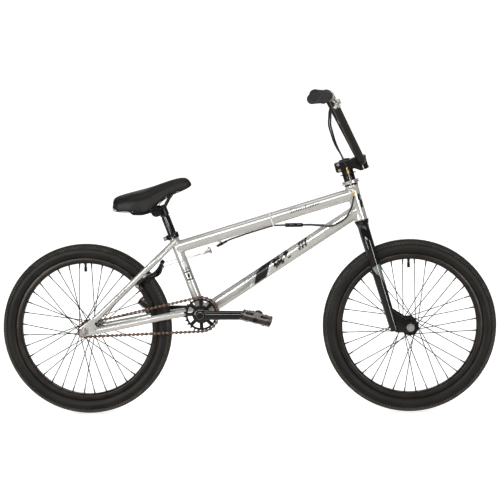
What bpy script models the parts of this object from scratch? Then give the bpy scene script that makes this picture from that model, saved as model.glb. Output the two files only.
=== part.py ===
"""BMX bike with a detangler (gyro) rear brake, modelled as separate pieces.

Metres, +X forward, +Z up, -Y the drive side.  The origin is on the ground, midway
between the two tyre contacts.  Every moving piece hangs from an empty on its joint.
"""
import math

import bmesh
import bpy
from mathutils import Matrix, Vector

# ----------------------------------------------------------------- driving dimensions
GAP = 0.0003                     # clearance left between neighbouring solids

WHEELBASE = 0.9552
TYRE_RADIUS = 0.254
TYRE_SECTION = 0.0253            # half the tyre's width
REAR_AXLE = Vector((-WHEELBASE / 2, 0.0, TYRE_RADIUS))
FRONT_AXLE = Vector((WHEELBASE / 2, 0.0, TYRE_RADIUS))

BOTTOM_BRACKET = Vector((-0.1305, 0.0, 0.299))
SEAT_ANGLE = math.radians(70.0)
HEAD_ANGLE = math.radians(75.0)
HEAD_MIDDLE = Vector((0.3282, 0.0, 0.6174))
STEER_REST = math.radians(3.4)   # the bars rest turned slightly to the rider's left

SEAT_DIR = Vector((-math.cos(SEAT_ANGLE), 0.0, math.sin(SEAT_ANGLE)))
SEAT_FORWARD = Vector((math.sin(SEAT_ANGLE), 0.0, math.cos(SEAT_ANGLE)))
HEAD_DIR = Vector((-math.cos(HEAD_ANGLE), 0.0, math.sin(HEAD_ANGLE)))
HEAD_FORWARD = Vector((math.sin(HEAD_ANGLE), 0.0, math.cos(HEAD_ANGLE)))
ACROSS = Vector((0.0, 1.0, 0.0))

SEAT_TUBE_RADIUS = 0.0143
SEAT_TUBE_BORE = 0.0130
SEAT_TUBE_TOP = 0.250
TOP_TUBE_RADIUS = 0.0180
DOWN_TUBE_RADIUS = 0.0190
TUBE_WALL = 0.0012
HEAD_TUBE_RADIUS = 0.0185
HEAD_TUBE_BORE = 0.0170
HEAD_TUBE_HALF = 0.0527
SHELL_RADIUS = 0.0250
SHELL_BORE = 0.0206
SHELL_HALF = 0.0340
STEERER_RADIUS = 0.0143
BAR_RADIUS = 0.0111

TOP_TUBE_REAR = Vector((-0.200, 0.0, 0.4941))
TOP_TUBE_FRONT = Vector((0.3205, 0.0, 0.6445))
DOWN_TUBE_FRONT = Vector((0.3340, 0.0, 0.5960))

CHAIN_PITCH = 0.0127
CHAIN_LINE = -0.042
RING_TEETH = 25
COG_TEETH = 9

CRANK_LENGTH = 0.170
PEDAL_MIDDLE = 0.1365
PEDAL_TILT_RIGHT = math.radians(15.0)
PEDAL_TILT_LEFT = math.radians(36.0)

SADDLE_PIVOT = Vector((-0.2581, 0.0, 0.6019))

# ------------------------------------------------------------------------- the scene
for old in list(bpy.data.objects):
    bpy.data.objects.remove(old, do_unlink=True)

PARTS = bpy.data.collections.new("bmx_bike")
CUTTERS = bpy.data.collections.new("bmx_bike_cutters")
for collection in (PARTS, CUTTERS):
    bpy.context.scene.collection.children.link(collection)


def principled(name, colour, roughness, metallic):
    """A plain Principled BSDF material."""
    material = bpy.data.materials.new(name)
    material.use_nodes = True
    shader = material.node_tree.nodes["Principled BSDF"]
    shader.inputs["Base Color"].default_value = (*colour, 1.0)
    shader.inputs["Roughness"].default_value = roughness
    shader.inputs["Metallic"].default_value = metallic
    material.diffuse_color = (*colour, 1.0)
    return material


LOOKS = {
    "frame_paint": ((0.74, 0.73, 0.70), 0.28, 0.35),
    "black_paint": ((0.018, 0.018, 0.019), 0.25, 0.0),
    "black_alloy": ((0.03, 0.03, 0.032), 0.42, 0.6),
    "steel": ((0.62, 0.60, 0.58), 0.30, 1.0),
    "chain_steel": ((0.23, 0.14, 0.10), 0.42, 0.9),
    "tyre_rubber": ((0.035, 0.034, 0.032), 0.82, 0.0),
    "grip_rubber": ((0.03, 0.03, 0.03), 0.75, 0.0),
    "pad_rubber": ((0.05, 0.045, 0.045), 0.80, 0.0),
    "saddle_cover": ((0.045, 0.043, 0.042), 0.62, 0.0),
    "housing_plastic": ((0.02, 0.02, 0.02), 0.40, 0.0),
    "pedal_plastic": ((0.04, 0.038, 0.036), 0.55, 0.0),
    "bearing_steel": ((0.55, 0.55, 0.56), 0.25, 1.0),
}


# ------------------------------------------------------------------ building helpers
def head(forward, along, across=0.0):
    """A point in the steering axis's own frame, steering straight."""
    return HEAD_MIDDLE + HEAD_FORWARD * forward + HEAD_DIR * along + ACROSS * across


def seat(along, forward=0.0, across=0.0):
    """A point in the seat tube's own frame."""
    return BOTTOM_BRACKET + SEAT_DIR * along + SEAT_FORWARD * forward + ACROSS * across


def frame_at(origin, direction, sideways=None):
    """A matrix with local Z along direction and local X close to sideways."""
    z_axis = Vector(direction).normalized()
    guide = Vector(sideways) if sideways is not None else Vector((0.0, 1.0, 0.0))
    if abs(guide.normalized().dot(z_axis)) > 0.999:
        guide = Vector((1.0, 0.0, 0.0))
    x_axis = (guide - z_axis * guide.dot(z_axis)).normalized()
    y_axis = z_axis.cross(x_axis)
    rotation = Matrix((x_axis, y_axis, z_axis)).transposed().to_4x4()
    return Matrix.Translation(origin) @ rotation


def place(name, mesh, matrix, collection=CUTTERS):
    """Wrap a mesh in an object at a matrix."""
    obj = bpy.data.objects.new(name, mesh)
    collection.objects.link(obj)
    obj.matrix_world = matrix
    if collection is CUTTERS:
        obj.hide_render = True
        obj.display_type = "WIRE"
    return obj


def cylinder(name, start, end, radius, end_radius=None, sides=24):
    """A capped cylinder or cone between two points."""
    start, end = Vector(start), Vector(end)
    mesh = bpy.data.meshes.new(name)
    bm = bmesh.new()
    bmesh.ops.create_cone(
        bm, cap_ends=True, segments=sides, radius1=radius,
        radius2=radius if end_radius is None else end_radius, depth=(end - start).length)
    bm.to_mesh(mesh)
    bm.free()
    return place(name, mesh, frame_at((start + end) / 2, end - start))


def box(name, centre, size, direction=(0.0, 0.0, 1.0), sideways=(0.0, 1.0, 0.0)):
    """A box; size runs along sideways, the third axis and direction."""
    mesh = bpy.data.meshes.new(name)
    bm = bmesh.new()
    bmesh.ops.create_cube(bm, size=1.0)
    bmesh.ops.scale(bm, vec=size, verts=bm.verts)
    bm.to_mesh(mesh)
    bm.free()
    return place(name, mesh, frame_at(Vector(centre), direction, sideways))


def turned(name, profile, origin, direction, steps=24, closed=True):
    """A lathe-turned piece: (radius, height) points, outer side from top to bottom."""
    mesh = bpy.data.meshes.new(name)
    verts = [(radius, 0.0, height) for radius, height in profile]
    edges = [(i, i + 1) for i in range(len(verts) - 1)]
    if closed:
        edges.append((len(verts) - 1, 0))
    mesh.from_pydata(verts, edges, [])
    obj = place(name, mesh, frame_at(Vector(origin), direction))
    screw = obj.modifiers.new("turn", "SCREW")
    screw.axis = "Z"
    screw.steps = steps
    screw.render_steps = steps
    screw.use_merge_vertices = True
    screw.merge_threshold = 0.00001
    screw.use_normal_calculate = False
    return obj


def sleeve(name, start, end, outer, inner, steps=24):
    """A straight open tube between two points."""
    start, end = Vector(start), Vector(end)
    length = (end - start).length
    profile = [(inner, length), (outer, length), (outer, 0.0), (inner, 0.0)]
    return turned(name, profile, start, end - start, steps)


def mesh_of_curve(name, curve, matrix):
    """Turn a curve datablock into a closed mesh object and drop the curve."""
    guide = bpy.data.objects.new(name + "_curve", curve)
    CUTTERS.objects.link(guide)
    guide.matrix_world = matrix
    bpy.context.view_layer.update()
    depsgraph = bpy.context.evaluated_depsgraph_get()
    mesh = bpy.data.meshes.new_from_object(guide.evaluated_get(depsgraph))
    mesh.name = name
    mesh.materials.clear()
    bm = bmesh.new()
    bm.from_mesh(mesh)
    bmesh.ops.remove_doubles(bm, verts=bm.verts, dist=0.000005)
    bm.to_mesh(mesh)
    bm.free()
    obj = place(name, mesh, guide.matrix_world)
    bpy.data.objects.remove(guide, do_unlink=True)
    return obj


def swept(name, points, radius, radii=None, resolution=4):
    """A round bar along points; radii scale it at each point."""
    curve = bpy.data.curves.new(name, "CURVE")
    curve.dimensions = "3D"
    curve.bevel_depth = radius
    curve.bevel_resolution = resolution
    curve.use_fill_caps = True
    spline = curve.splines.new("POLY")
    spline.points.add(len(points) - 1)
    for index, (spot, point) in enumerate(zip(spline.points, points)):
        spot.co = (*point, 1.0)
        spot.radius = 1.0 if radii is None else radii[index]
    return mesh_of_curve(name, curve, Matrix.Identity(4))


def rounded(corners, radii, steps=4):
    """A path through corner points, with each inner corner turned as an arc."""
    corners = [Vector(corner) for corner in corners]
    if not isinstance(radii, list):
        radii = [radii] * (len(corners) - 2)
    path = [corners[0]]
    for before, corner, after, radius in zip(corners, corners[1:], corners[2:], radii):
        back = (before - corner).normalized()
        ahead = (after - corner).normalized()
        half = back.angle(ahead) / 2
        reach = min(radius / math.tan(half), 0.45 * (before - corner).length,
                    0.45 * (after - corner).length)
        middle = corner + (back + ahead).normalized() * reach / math.cos(half)
        first = corner + back * reach - middle
        last = corner + ahead * reach - middle
        sweep = first.angle(last)
        for step in range(steps + 1):
            angle = sweep * step / steps
            arm = first * math.sin(sweep - angle) + last * math.sin(angle)
            path.append(middle + arm / math.sin(sweep))
    path.append(corners[-1])
    return path


def arc(radius, start, end, steps, centre=(0.0, 0.0)):
    """Points on a circle between two angles in degrees."""
    points = []
    for step in range(steps + 1):
        angle = math.radians(start + (end - start) * step / steps)
        points.append((centre[0] + radius * math.cos(angle), centre[1] + radius * math.sin(angle)))
    return points


def plate(name, outlines, thickness, matrix):
    """A flat plate: filled outlines in local XY, the later ones cut as windows."""
    curve = bpy.data.curves.new(name, "CURVE")
    curve.dimensions = "2D"
    curve.fill_mode = "BOTH"
    curve.extrude = thickness / 2
    for outline in outlines:
        spline = curve.splines.new("POLY")
        spline.points.add(len(outline) - 1)
        for spot, (x, y) in zip(spline.points, outline):
            spot.co = (x, y, 0.0, 1.0)
        spline.use_cyclic_u = True
    return mesh_of_curve(name, curve, matrix)


def side_view(origin):
    """A matrix with local X forward, local Y up and local Z toward the drive side."""
    matrix = Matrix(((1, 0, 0), (0, 0, -1), (0, 1, 0))).to_4x4()
    return Matrix.Translation(origin) @ matrix


def combine(target, others, operation):
    """Exact Booleans that stay on the target as modifiers."""
    for other in others:
        modifier = target.modifiers.new(operation.lower(), "BOOLEAN")
        modifier.operation = operation
        modifier.solver = "EXACT"
        modifier.object = other
    return target


def join(target, *others):
    return combine(target, others, "UNION")


def cut(target, *others):
    return combine(target, others, "DIFFERENCE")


def part(obj, look):
    """Make an object one of the bike's parts, with its own material."""
    CUTTERS.objects.unlink(obj)
    PARTS.objects.link(obj)
    obj.hide_render = False
    obj.display_type = "TEXTURED"
    obj.data.materials.clear()
    obj.data.materials.append(principled(obj.name, *LOOKS[look]))
    obj.data.shade_smooth()
    obj.data.set_sharp_from_angle(angle=math.radians(35.0))
    return obj


HOMES = {}


def hang(empty, *objects):
    """Parent objects, and the solids that shape them, to an empty where they stand."""
    for obj in objects:
        if obj.parent is None:
            place_now = obj.matrix_basis.copy()
            obj.parent = empty
            obj.matrix_parent_inverse = Matrix.Translation(-HOMES[empty.name])
            obj.matrix_basis = place_now
            hang(empty, *[shaper.object for shaper in obj.modifiers if shaper.type == "BOOLEAN"])


def joint_empty(name, origin, parent=None):
    """An empty on a joint's axis, standing for a moving group."""
    empty = bpy.data.objects.new(name, None)
    empty.empty_display_size = 0.03
    PARTS.objects.link(empty)
    empty.location = origin
    HOMES[name] = Vector(origin)
    if parent is not None:
        hang(parent, empty)
    return empty


# --------------------------------------------------------------------- frame tubes
def side_name(stem, side):
    """Right is the drive side, at -Y."""
    return stem + ("_right" if side < 0 else "_left")


def shell_cutter(name):
    return cylinder(name, BOTTOM_BRACKET - ACROSS * 0.06, BOTTOM_BRACKET + ACROSS * 0.06,
                    SHELL_RADIUS + GAP, sides=24)


def seat_cutter(name):
    return cylinder(name, seat(-0.02), seat(SEAT_TUBE_TOP + 0.03), SEAT_TUBE_RADIUS + GAP, sides=20)


def head_cutter(name):
    return cylinder(name, head(0, -0.09), head(0, 0.09), HEAD_TUBE_RADIUS + GAP, sides=24)


def make_head_tube():
    tube = cylinder("head_tube", head(0, -HEAD_TUBE_HALF), head(0, HEAD_TUBE_HALF), HEAD_TUBE_RADIUS,
                    sides=20)
    bores = [cylinder("head_tube_bore", head(0, -0.09), head(0, 0.09), HEAD_TUBE_BORE, sides=20)]
    for side in (-1, 1):
        join(tube, box("gyro_tab", head(0, TAB_ALONG, side * 0.0255), (0.018, 0.011, 0.004), HEAD_DIR))
        bores.append(cylinder("gyro_tab_hole", head(0, TAB_ALONG - 0.01, side * CABLE_ACROSS),
                              head(0, TAB_ALONG + 0.01, side * CABLE_ACROSS), 0.0025, sides=10))
    return part(cut(tube, *bores), "frame_paint")


def make_main_tubes():
    top = sleeve("top_tube", TOP_TUBE_REAR, TOP_TUBE_FRONT, TOP_TUBE_RADIUS,
                 TOP_TUBE_RADIUS - TUBE_WALL, 18)
    cut(top, seat_cutter("top_tube_mitre_rear"), head_cutter("top_tube_mitre_front"))
    down = sleeve("down_tube", BOTTOM_BRACKET, DOWN_TUBE_FRONT, DOWN_TUBE_RADIUS,
                  DOWN_TUBE_RADIUS - TUBE_WALL, 18)
    cut(down, shell_cutter("down_tube_mitre_shell"), seat_cutter("down_tube_mitre_seat"),
        head_cutter("down_tube_mitre_front"))
    seat_tube = sleeve("seat_tube", seat(0.010), seat(SEAT_TUBE_TOP), SEAT_TUBE_RADIUS,
                       SEAT_TUBE_BORE, 20)
    cut(seat_tube, shell_cutter("seat_tube_mitre"))
    shell = sleeve("bottom_bracket_shell", BOTTOM_BRACKET - ACROSS * SHELL_HALF,
                   BOTTOM_BRACKET + ACROSS * SHELL_HALF, SHELL_RADIUS, SHELL_BORE, 24)
    for tube in (top, down, seat_tube, shell):
        part(tube, "frame_paint")


DROPOUT_INSIDE = 0.055
DROPOUT_THICKNESS = 0.006
DROPOUT_ROUND = 0.0153
REAR_AXLE_RADIUS = 0.0070
STAY_SLOPE = math.radians(43.2)
CHAINSTAY_SLOPE = math.radians(10.4)
SEATSTAY_WELD = Vector((0.0330, 0.0342))
CHAINSTAY_WELD = Vector((0.0440, 0.0020))


def dropout_outline():
    """The rear dropout around the axle, its slot open to the rear."""
    slot = REAR_AXLE_RADIUS + GAP
    stay_across = Vector((-math.sin(STAY_SLOPE), math.cos(STAY_SLOPE)))
    chain_across = Vector((-math.sin(CHAINSTAY_SLOPE), math.cos(CHAINSTAY_SLOPE)))
    outline = arc(slot, -90, 90, 6)
    outline += arc(DROPOUT_ROUND, 151, 133, 2)
    outline.append(tuple(SEATSTAY_WELD + stay_across * 0.0085))
    outline.append(tuple(SEATSTAY_WELD - stay_across * 0.0085))
    outline += arc(0.0065, 115, 235, 4, centre=(0.0395, 0.0215))
    outline.append(tuple(CHAINSTAY_WELD + chain_across * 0.0093))
    outline.append(tuple(CHAINSTAY_WELD - chain_across * 0.0093))
    outline += arc(DROPOUT_ROUND, -80, -151, 5)
    return outline


def rear_point(forward, up, across=0.0):
    return REAR_AXLE + Vector((forward, across, up))


def make_stays():
    for side in (-1, 1):
        middle = side * (DROPOUT_INSIDE + DROPOUT_THICKNESS / 2)
        dropout = plate(side_name("dropout", side), [dropout_outline()], DROPOUT_THICKNESS,
                        side_view(REAR_AXLE + ACROSS * middle))
        lower = [rear_point(0.0390, 0.0010, side * 0.0580), rear_point(0.1385, 0.0195, side * 0.0530),
                 rear_point(0.2226, 0.0360, side * 0.0400), rear_point(0.2850, 0.0450, side * 0.0290),
                 rear_point(0.3350, 0.0500, side * 0.0262)]
        chainstay = swept(side_name("chainstay", side), rounded(lower, 0.12, 2), 0.0100,
                          tapered(rounded(lower, 0.12, 2), 0.93, 1.0), 2)
        join(chainstay, dropout)
        cut(chainstay, shell_cutter(side_name("chainstay_mitre", side)))
        upper = [rear_point(0.0336, 0.0348, side * 0.0580), rear_point(0.1476, 0.1414, side * 0.0440),
                 rear_point(0.2076, 0.1981, side * 0.0380), rear_point(0.2430, 0.2315, side * 0.0210),
                 rear_point(0.2720, 0.2590, side * 0.0100)]
        seatstay = swept(side_name("seatstay", side), rounded(upper, 0.10, 2), 0.0080,
                         tapered(rounded(upper, 0.10, 2), 1.06, 1.0), 2)
        post = cylinder(side_name("brake_post", side), brake_point(0, 0, side * PIVOT_ACROSS),
                        brake_point(0, 0.0335, side * PIVOT_ACROSS), POST_RADIUS, sides=12)
        cap = cylinder(side_name("brake_post_cap", side), brake_point(0, 0.0305, side * PIVOT_ACROSS),
                       brake_point(0, 0.0345, side * PIVOT_ACROSS), 0.0070, sides=12)
        join(seatstay, post, cap)
        cut(seatstay, seat_cutter(side_name("seatstay_mitre", side)),
            box(side_name("seatstay_end", side), rear_point(0.0336, 0.0348, side * 0.058)
                - STAY_DIR * (0.0100 - GAP), (0.03, 0.03, 0.02), STAY_DIR))
        part(chainstay, "frame_paint")
        part(seatstay, "frame_paint")


def tapered(points, first, last):
    """Radius factors that change evenly along a path."""
    lengths = [0.0]
    for before, after in zip(points, points[1:]):
        lengths.append(lengths[-1] + (after - before).length)
    return [first + (last - first) * length / lengths[-1] for length in lengths]


# ------------------------------------------------------------ rear brake's own frame
STAY_DIR = Vector((math.cos(STAY_SLOPE), 0.0, math.sin(STAY_SLOPE)))
STAY_OUT = Vector((math.sin(STAY_SLOPE), 0.0, -math.cos(STAY_SLOPE)))
BRAKE_ORIGIN = Vector((-0.3046, 0.0, 0.4221))
PIVOT_ACROSS = 0.0405
POST_RADIUS = 0.0040
PAD_DOWN = -0.0350
TIP_UP = 0.0615
TIP_ACROSS = 0.0320
ARM_LAYERS = {-1: (0.0120, 0.0200), 1: (0.0212, 0.0292)}
RIM_HALF = 0.0160


def brake_point(along, out, across):
    """Along the seat stays, out from their plane towards the seat tube, and across."""
    return BRAKE_ORIGIN + STAY_DIR * along + STAY_OUT * out + ACROSS * across


def make_brake():
    """Two crossing arms on posts; each pad is on its own post's side of the rim."""
    for side in (-1, 1):
        low, high = ARM_LAYERS[side]
        middle = (low + high) / 2
        thick = high - low
        pivot = brake_point(0, middle, side * PIVOT_ACROSS)
        tip = brake_point(TIP_UP, middle, -side * TIP_ACROSS)
        foot = brake_point(PAD_DOWN, middle, side * 0.0370)
        name = side_name("brake_arm", side)
        arm = cylinder(name, brake_point(0, low, side * PIVOT_ACROSS),
                       brake_point(0, high, side * PIVOT_ACROSS), 0.0095, sides=20)
        upper = box(name + "_upper", (pivot + tip) / 2, (thick, 0.0105, (tip - pivot).length),
                    tip - pivot, STAY_OUT)
        anchor = cylinder(name + "_anchor", brake_point(TIP_UP, low, -side * TIP_ACROSS),
                          brake_point(TIP_UP, high + 0.003, -side * TIP_ACROSS), 0.0065, sides=16)
        lower = box(name + "_lower", (pivot + foot) / 2, (thick, 0.0090, (foot - pivot).length),
                    foot - pivot, STAY_OUT)
        holder = cylinder(name + "_holder", foot + STAY_OUT * 0.0030 - ACROSS * side * 0.0054,
                          foot + STAY_OUT * 0.0030 + ACROSS * side * 0.0060, 0.0070, sides=16)
        hole = cylinder(name + "_bore", brake_point(0, 0, side * PIVOT_ACROSS),
                        brake_point(0, 0.05, side * PIVOT_ACROSS), POST_RADIUS + GAP, sides=12)
        join(arm, upper, anchor, lower, holder)
        cut(arm, hole)
        empty = joint_empty(name + "_pivot", brake_point(0, middle, side * PIVOT_ACROSS))
        hang(empty, part(arm, "black_alloy"))
        pad_in = side * (RIM_HALF + 0.0018)
        pad_out = side * 0.0280
        pad_middle = brake_point(PAD_DOWN, 0.0100, (pad_in + pad_out) / 2)
        pad = box(side_name("brake_pad", side), pad_middle,
                  (abs(pad_out - pad_in), 0.0100, 0.0500), STAY_OUT)
        stud = cylinder(side_name("brake_pad_stud", side),
                        brake_point(PAD_DOWN, 0.0100, pad_out - side * 0.004),
                        brake_point(PAD_DOWN, 0.0100, side * 0.0312), 0.0030, sides=12)
        join(pad, stud)
        hang(empty, part(pad, "pad_rubber"))


# ------------------------------------------------------------------------ seat group
def make_seat_group():
    collar = cylinder("seat_clamp", seat(0.2360), seat(0.2515), 0.0182, sides=20)
    ears = box("seat_clamp_ears", seat(0.2437, -0.0215), (0.0150, 0.0130, 0.0120), SEAT_DIR)
    barrel = cylinder("seat_clamp_bolt", seat(0.2437, -0.0235, -0.0120),
                      seat(0.2437, -0.0235, 0.0120), 0.0052, sides=12)
    bore = cylinder("seat_clamp_bore", seat(0.20), seat(0.27), SEAT_TUBE_RADIUS + GAP, sides=20)
    slit = box("seat_clamp_slit", seat(0.2437, -0.0150), (0.0016, 0.0130, 0.0200), SEAT_DIR)
    part(cut(join(collar, ears, barrel), bore, slit), "black_alloy")

    post = turned("seat_post", [(0.0, 0.210), (0.0111, 0.210), (0.0111, 0.1745), (0.0127, 0.1735),
                                (0.0127, 0.0), (0.0, 0.0)], seat(0.130), SEAT_DIR, 18, closed=False)
    clamp = cylinder("saddle_clamp", seat(0.3080), seat(0.3370), 0.0136, sides=18)
    hub = cylinder("saddle_clamp_barrel", SADDLE_PIVOT - ACROSS * 0.0134,
                   SADDLE_PIVOT + ACROSS * 0.0134, 0.0110, sides=16)
    neck = box("saddle_clamp_neck", (SADDLE_PIVOT + seat(0.3220, -0.0120)) / 2,
               (0.0200, 0.0100, 0.0180), SEAT_DIR)
    room = cylinder("saddle_clamp_room", seat(0.29), seat(0.36), 0.0111 + GAP, sides=18)
    hole = cylinder("saddle_clamp_hole", SADDLE_PIVOT - ACROSS * 0.02, SADDLE_PIVOT + ACROSS * 0.02,
                    0.0035 + GAP, sides=12)
    join(clamp, hub, neck)
    cut(clamp, room, hole)
    post_empty = joint_empty("seat_post_slide", seat(0.130))
    hang(post_empty, part(post, "black_alloy"), part(clamp, "black_alloy"))
    saddle_empty = joint_empty("saddle_tilt", SADDLE_PIVOT, post_empty)
    hang(saddle_empty, part(make_rails(), "black_alloy"), part(make_saddle(), "saddle_cover"))


def make_rails():
    """Two rails gripped between serrated discs that the clamp bolt joins."""
    bolt = cylinder("saddle_rails", SADDLE_PIVOT - ACROSS * 0.0320, SADDLE_PIVOT + ACROSS * 0.0320,
                    0.0035, sides=12)
    for side in (-1, 1):
        disc = cylinder(side_name("saddle_disc", side), SADDLE_PIVOT + ACROSS * side * 0.0140,
                        SADDLE_PIVOT + ACROSS * side * 0.0285, 0.0155, sides=16)
        route = [Vector((-0.2180, side * 0.0150, 0.6475)), Vector((-0.2370, side * 0.0215, 0.6135)),
                 Vector((-0.2600, side * 0.0220, 0.6055)), Vector((-0.3000, side * 0.0230, 0.5950)),
                 Vector((-0.3280, side * 0.0240, 0.5955)), Vector((-0.3420, side * 0.0240, 0.6120))]
        rail = swept(side_name("saddle_rail", side), rounded(route, 0.015, 2), 0.0035, resolution=1)
        join(bolt, disc, rail)
    return bolt


SADDLE_STATIONS = [
    # x, half width, top, skirt, underside on the centre line
    (-0.3850, 0.030, 0.6385, 0.6205, 0.6215), (-0.3815, 0.049, 0.6450, 0.6130, 0.6170),
    (-0.3720, 0.061, 0.6500, 0.6070, 0.6150), (-0.3500, 0.069, 0.6560, 0.6055, 0.6200),
    (-0.3200, 0.071, 0.6625, 0.6040, 0.6280), (-0.2900, 0.065, 0.6695, 0.5978, 0.6360),
    (-0.2700, 0.052, 0.6755, 0.6060, 0.6420), (-0.2500, 0.039, 0.6823, 0.6270, 0.6480),
    (-0.2250, 0.029, 0.6912, 0.6440, 0.6540), (-0.2000, 0.0240, 0.6985, 0.6545, 0.6590),
    (-0.1800, 0.0215, 0.7015, 0.6625, 0.6650), (-0.1670, 0.0175, 0.6985, 0.6690, 0.6705),
    (-0.1590, 0.0110, 0.6900, 0.6745, 0.6750), (-0.1563, 0.0040, 0.6830, 0.6790, 0.6792)]
SADDLE_ROUND = 7


def make_saddle():
    """A loft through unlike sections: domed top, side skirts, hollow underneath."""
    mesh = bpy.data.meshes.new("saddle")
    bm = bmesh.new()
    rings = []
    for x, half, top, skirt, under in SADDLE_STATIONS:
        section = []
        for step in range(2 * SADDLE_ROUND + 1):
            angle = math.pi * step / (2 * SADDLE_ROUND)
            across = math.copysign(abs(math.cos(angle)) ** 0.75, math.cos(angle))
            section.append((half * across, skirt + (top - skirt) * math.sin(angle) ** 0.62))
        section += [(-half * 0.88, skirt + 0.15 * (under - skirt)), (-half * 0.45, under),
                    (half * 0.45, under), (half * 0.88, skirt + 0.15 * (under - skirt))]
        rings.append([bm.verts.new((x, y, z)) for y, z in section])
    for ring, following in zip(rings, rings[1:]):
        count = len(ring)
        for index in range(count):
            after = (index + 1) % count
            bm.faces.new((ring[index], ring[after], following[after], following[index]))
    bm.faces.new(rings[0][::-1])
    bm.faces.new(rings[-1])
    bmesh.ops.recalc_face_normals(bm, faces=bm.faces)
    bm.to_mesh(mesh)
    bm.free()
    return place("saddle", mesh, Matrix.Identity(4))


# ------------------------------------------------------------------------- headset
TAB_ALONG = 0.0400
CABLE_ACROSS = 0.0300
GYRO_TRAVEL = 0.004


def make_headset():
    lower = turned("headset_cup_lower", [
        (0.0146, 0.014), (HEAD_TUBE_BORE - GAP, 0.014), (HEAD_TUBE_BORE - GAP, 0.006),
        (0.0210, 0.006), (0.0210, 0.0), (0.0146, 0.0)], head(0, -HEAD_TUBE_HALF - 0.0063), HEAD_DIR, 20)
    upper = turned("headset_cup_upper", [
        (0.0146, 0.012), (0.0200, 0.012), (0.0205, 0.008), (HEAD_TUBE_BORE - GAP, 0.008),
        (HEAD_TUBE_BORE - GAP, 0.0), (0.0146, 0.0)], head(0, HEAD_TUBE_HALF - 0.0077), HEAD_DIR, 20)
    part(lower, "black_alloy")
    part(upper, "black_alloy")


def gyro_ring(name, base, top, rim_base, rim_top, wire_end):
    """A ring that slides on the sleeve, with an ear and an inner wire on each side."""
    ring = cylinder(name, head(0, base), head(0, top), 0.0228, sides=18)
    bore = cylinder(name + "_bore", head(0, base - 0.01), head(0, top + 0.01),
                    GYRO_SLEEVE_RADIUS + GAP, sides=18)
    join(ring, cylinder(name + "_flange", head(0, rim_base), head(0, rim_top), 0.0262, sides=18))
    for side in (-1, 1):
        ear = box(side_name(name + "_ear", side), head(0, (rim_base + rim_top) / 2, side * 0.0290),
                  (0.0100, 0.0090, rim_top - rim_base), HEAD_DIR)
        wire = cylinder(side_name(name + "_wire", side),
                        head(0, (rim_base + rim_top) / 2, side * CABLE_ACROSS),
                        head(0, wire_end, side * CABLE_ACROSS), 0.0008, sides=6)
        join(ring, ear, wire)
    return part(cut(ring, bore), "steel" if "lower" in name else "black_alloy")


GYRO_SLEEVE_RADIUS = 0.0170
STEM_BASE = 0.0986
STEM_TOP = 0.1280
BAR_FORWARD = 0.0477
BAR_ALONG = 0.1106


def make_gyro():
    sleeve_part = sleeve("gyro_sleeve", head(0, 0.0573), head(0, 0.0862), GYRO_SLEEVE_RADIUS,
                         STEERER_RADIUS + GAP, 18)
    top = cylinder("gyro_top_plate", head(0, 0.0865), head(0, STEM_BASE - GAP), 0.0172, sides=18)
    bores = [cylinder("gyro_top_bore", head(0, 0.08), head(0, 0.10), STEERER_RADIUS + GAP, sides=18)]
    join(top, cylinder("gyro_top_disc", head(0, 0.0865), head(0, 0.0885), 0.0240, sides=18))
    for side in (-1, 1):
        join(top, box(side_name("gyro_top_ear", side), head(0, 0.0875, side * 0.0275),
                      (0.0160, 0.0100, 0.0019), HEAD_DIR))
        bores.append(cylinder(side_name("gyro_top_hole", side), head(0, 0.08, side * CABLE_ACROSS),
                              head(0, 0.10, side * CABLE_ACROSS), 0.0014, sides=8))
    cut(top, *bores)
    hang(STEERING, part(sleeve_part, "black_alloy"), part(top, "black_alloy"))
    slide_up = joint_empty("gyro_upper_slide", head(0, 0.066), STEERING)
    hang(slide_up, gyro_ring("gyro_upper_ring", 0.0640, 0.0672, 0.0652, 0.0672, 0.0960))
    slide_low = joint_empty("gyro_lower_slide", head(0, 0.060))
    hang(slide_low, gyro_ring("gyro_lower_ring", 0.0585, 0.0637, 0.0585, 0.0607, 0.0280))


# ---------------------------------------------------------------- fork, stem and bars
LEG_ACROSS = 0.0480
FRONT_DROPOUT_INSIDE = 0.0500
FRONT_DROPOUT_THICKNESS = 0.0050
FRONT_AXLE_RADIUS = 0.0048


def make_fork():
    steerer = turned("fork_steerer", [
        (0.0, 0.238), (0.0165, 0.238), (0.0165, 0.2345), (STEERER_RADIUS, 0.2345),
        (STEERER_RADIUS, 0.0463), (0.0195, 0.0457), (0.0195, 0.0425), (0.0163, 0.040),
        (0.0163, 0.0), (0.0, 0.0)], head(0, -0.1060), HEAD_DIR, 24, closed=False)
    hang(STEERING, part(steerer, "black_paint"))
    for side in (-1, 1):
        route = [head(0.0, -0.0680, side * 0.0200), head(0.0, -0.0860, side * 0.0310),
                 head(0.0, -0.1080, side * 0.0430), head(0.0010, -0.1400, side * LEG_ACROSS),
                 head(0.0045, -0.3856, side * 0.0500)]
        path = rounded(route, 0.06, 2)
        leg = swept(side_name("fork_leg", side), path, 0.0160, tapered(path, 1.0, 0.72), 3)
        plate_middle = side * (FRONT_DROPOUT_INSIDE + FRONT_DROPOUT_THICKNESS / 2)
        dropout = plate(side_name("fork_dropout", side), [front_dropout_outline()],
                        FRONT_DROPOUT_THICKNESS, side_view(FRONT_AXLE + ACROSS * plate_middle))
        room = cylinder(side_name("fork_leg_mitre", side), head(0, -0.20), head(0, 0.0),
                        0.0163 + GAP, sides=24)
        roof = box(side_name("fork_leg_top", side), head(0, -0.0443, side * 0.03),
                   (0.08, 0.08, 0.04), HEAD_DIR)
        join(leg, dropout)
        cut(leg, room, roof)
        hang(STEERING, part(leg, "black_paint"))


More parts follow.
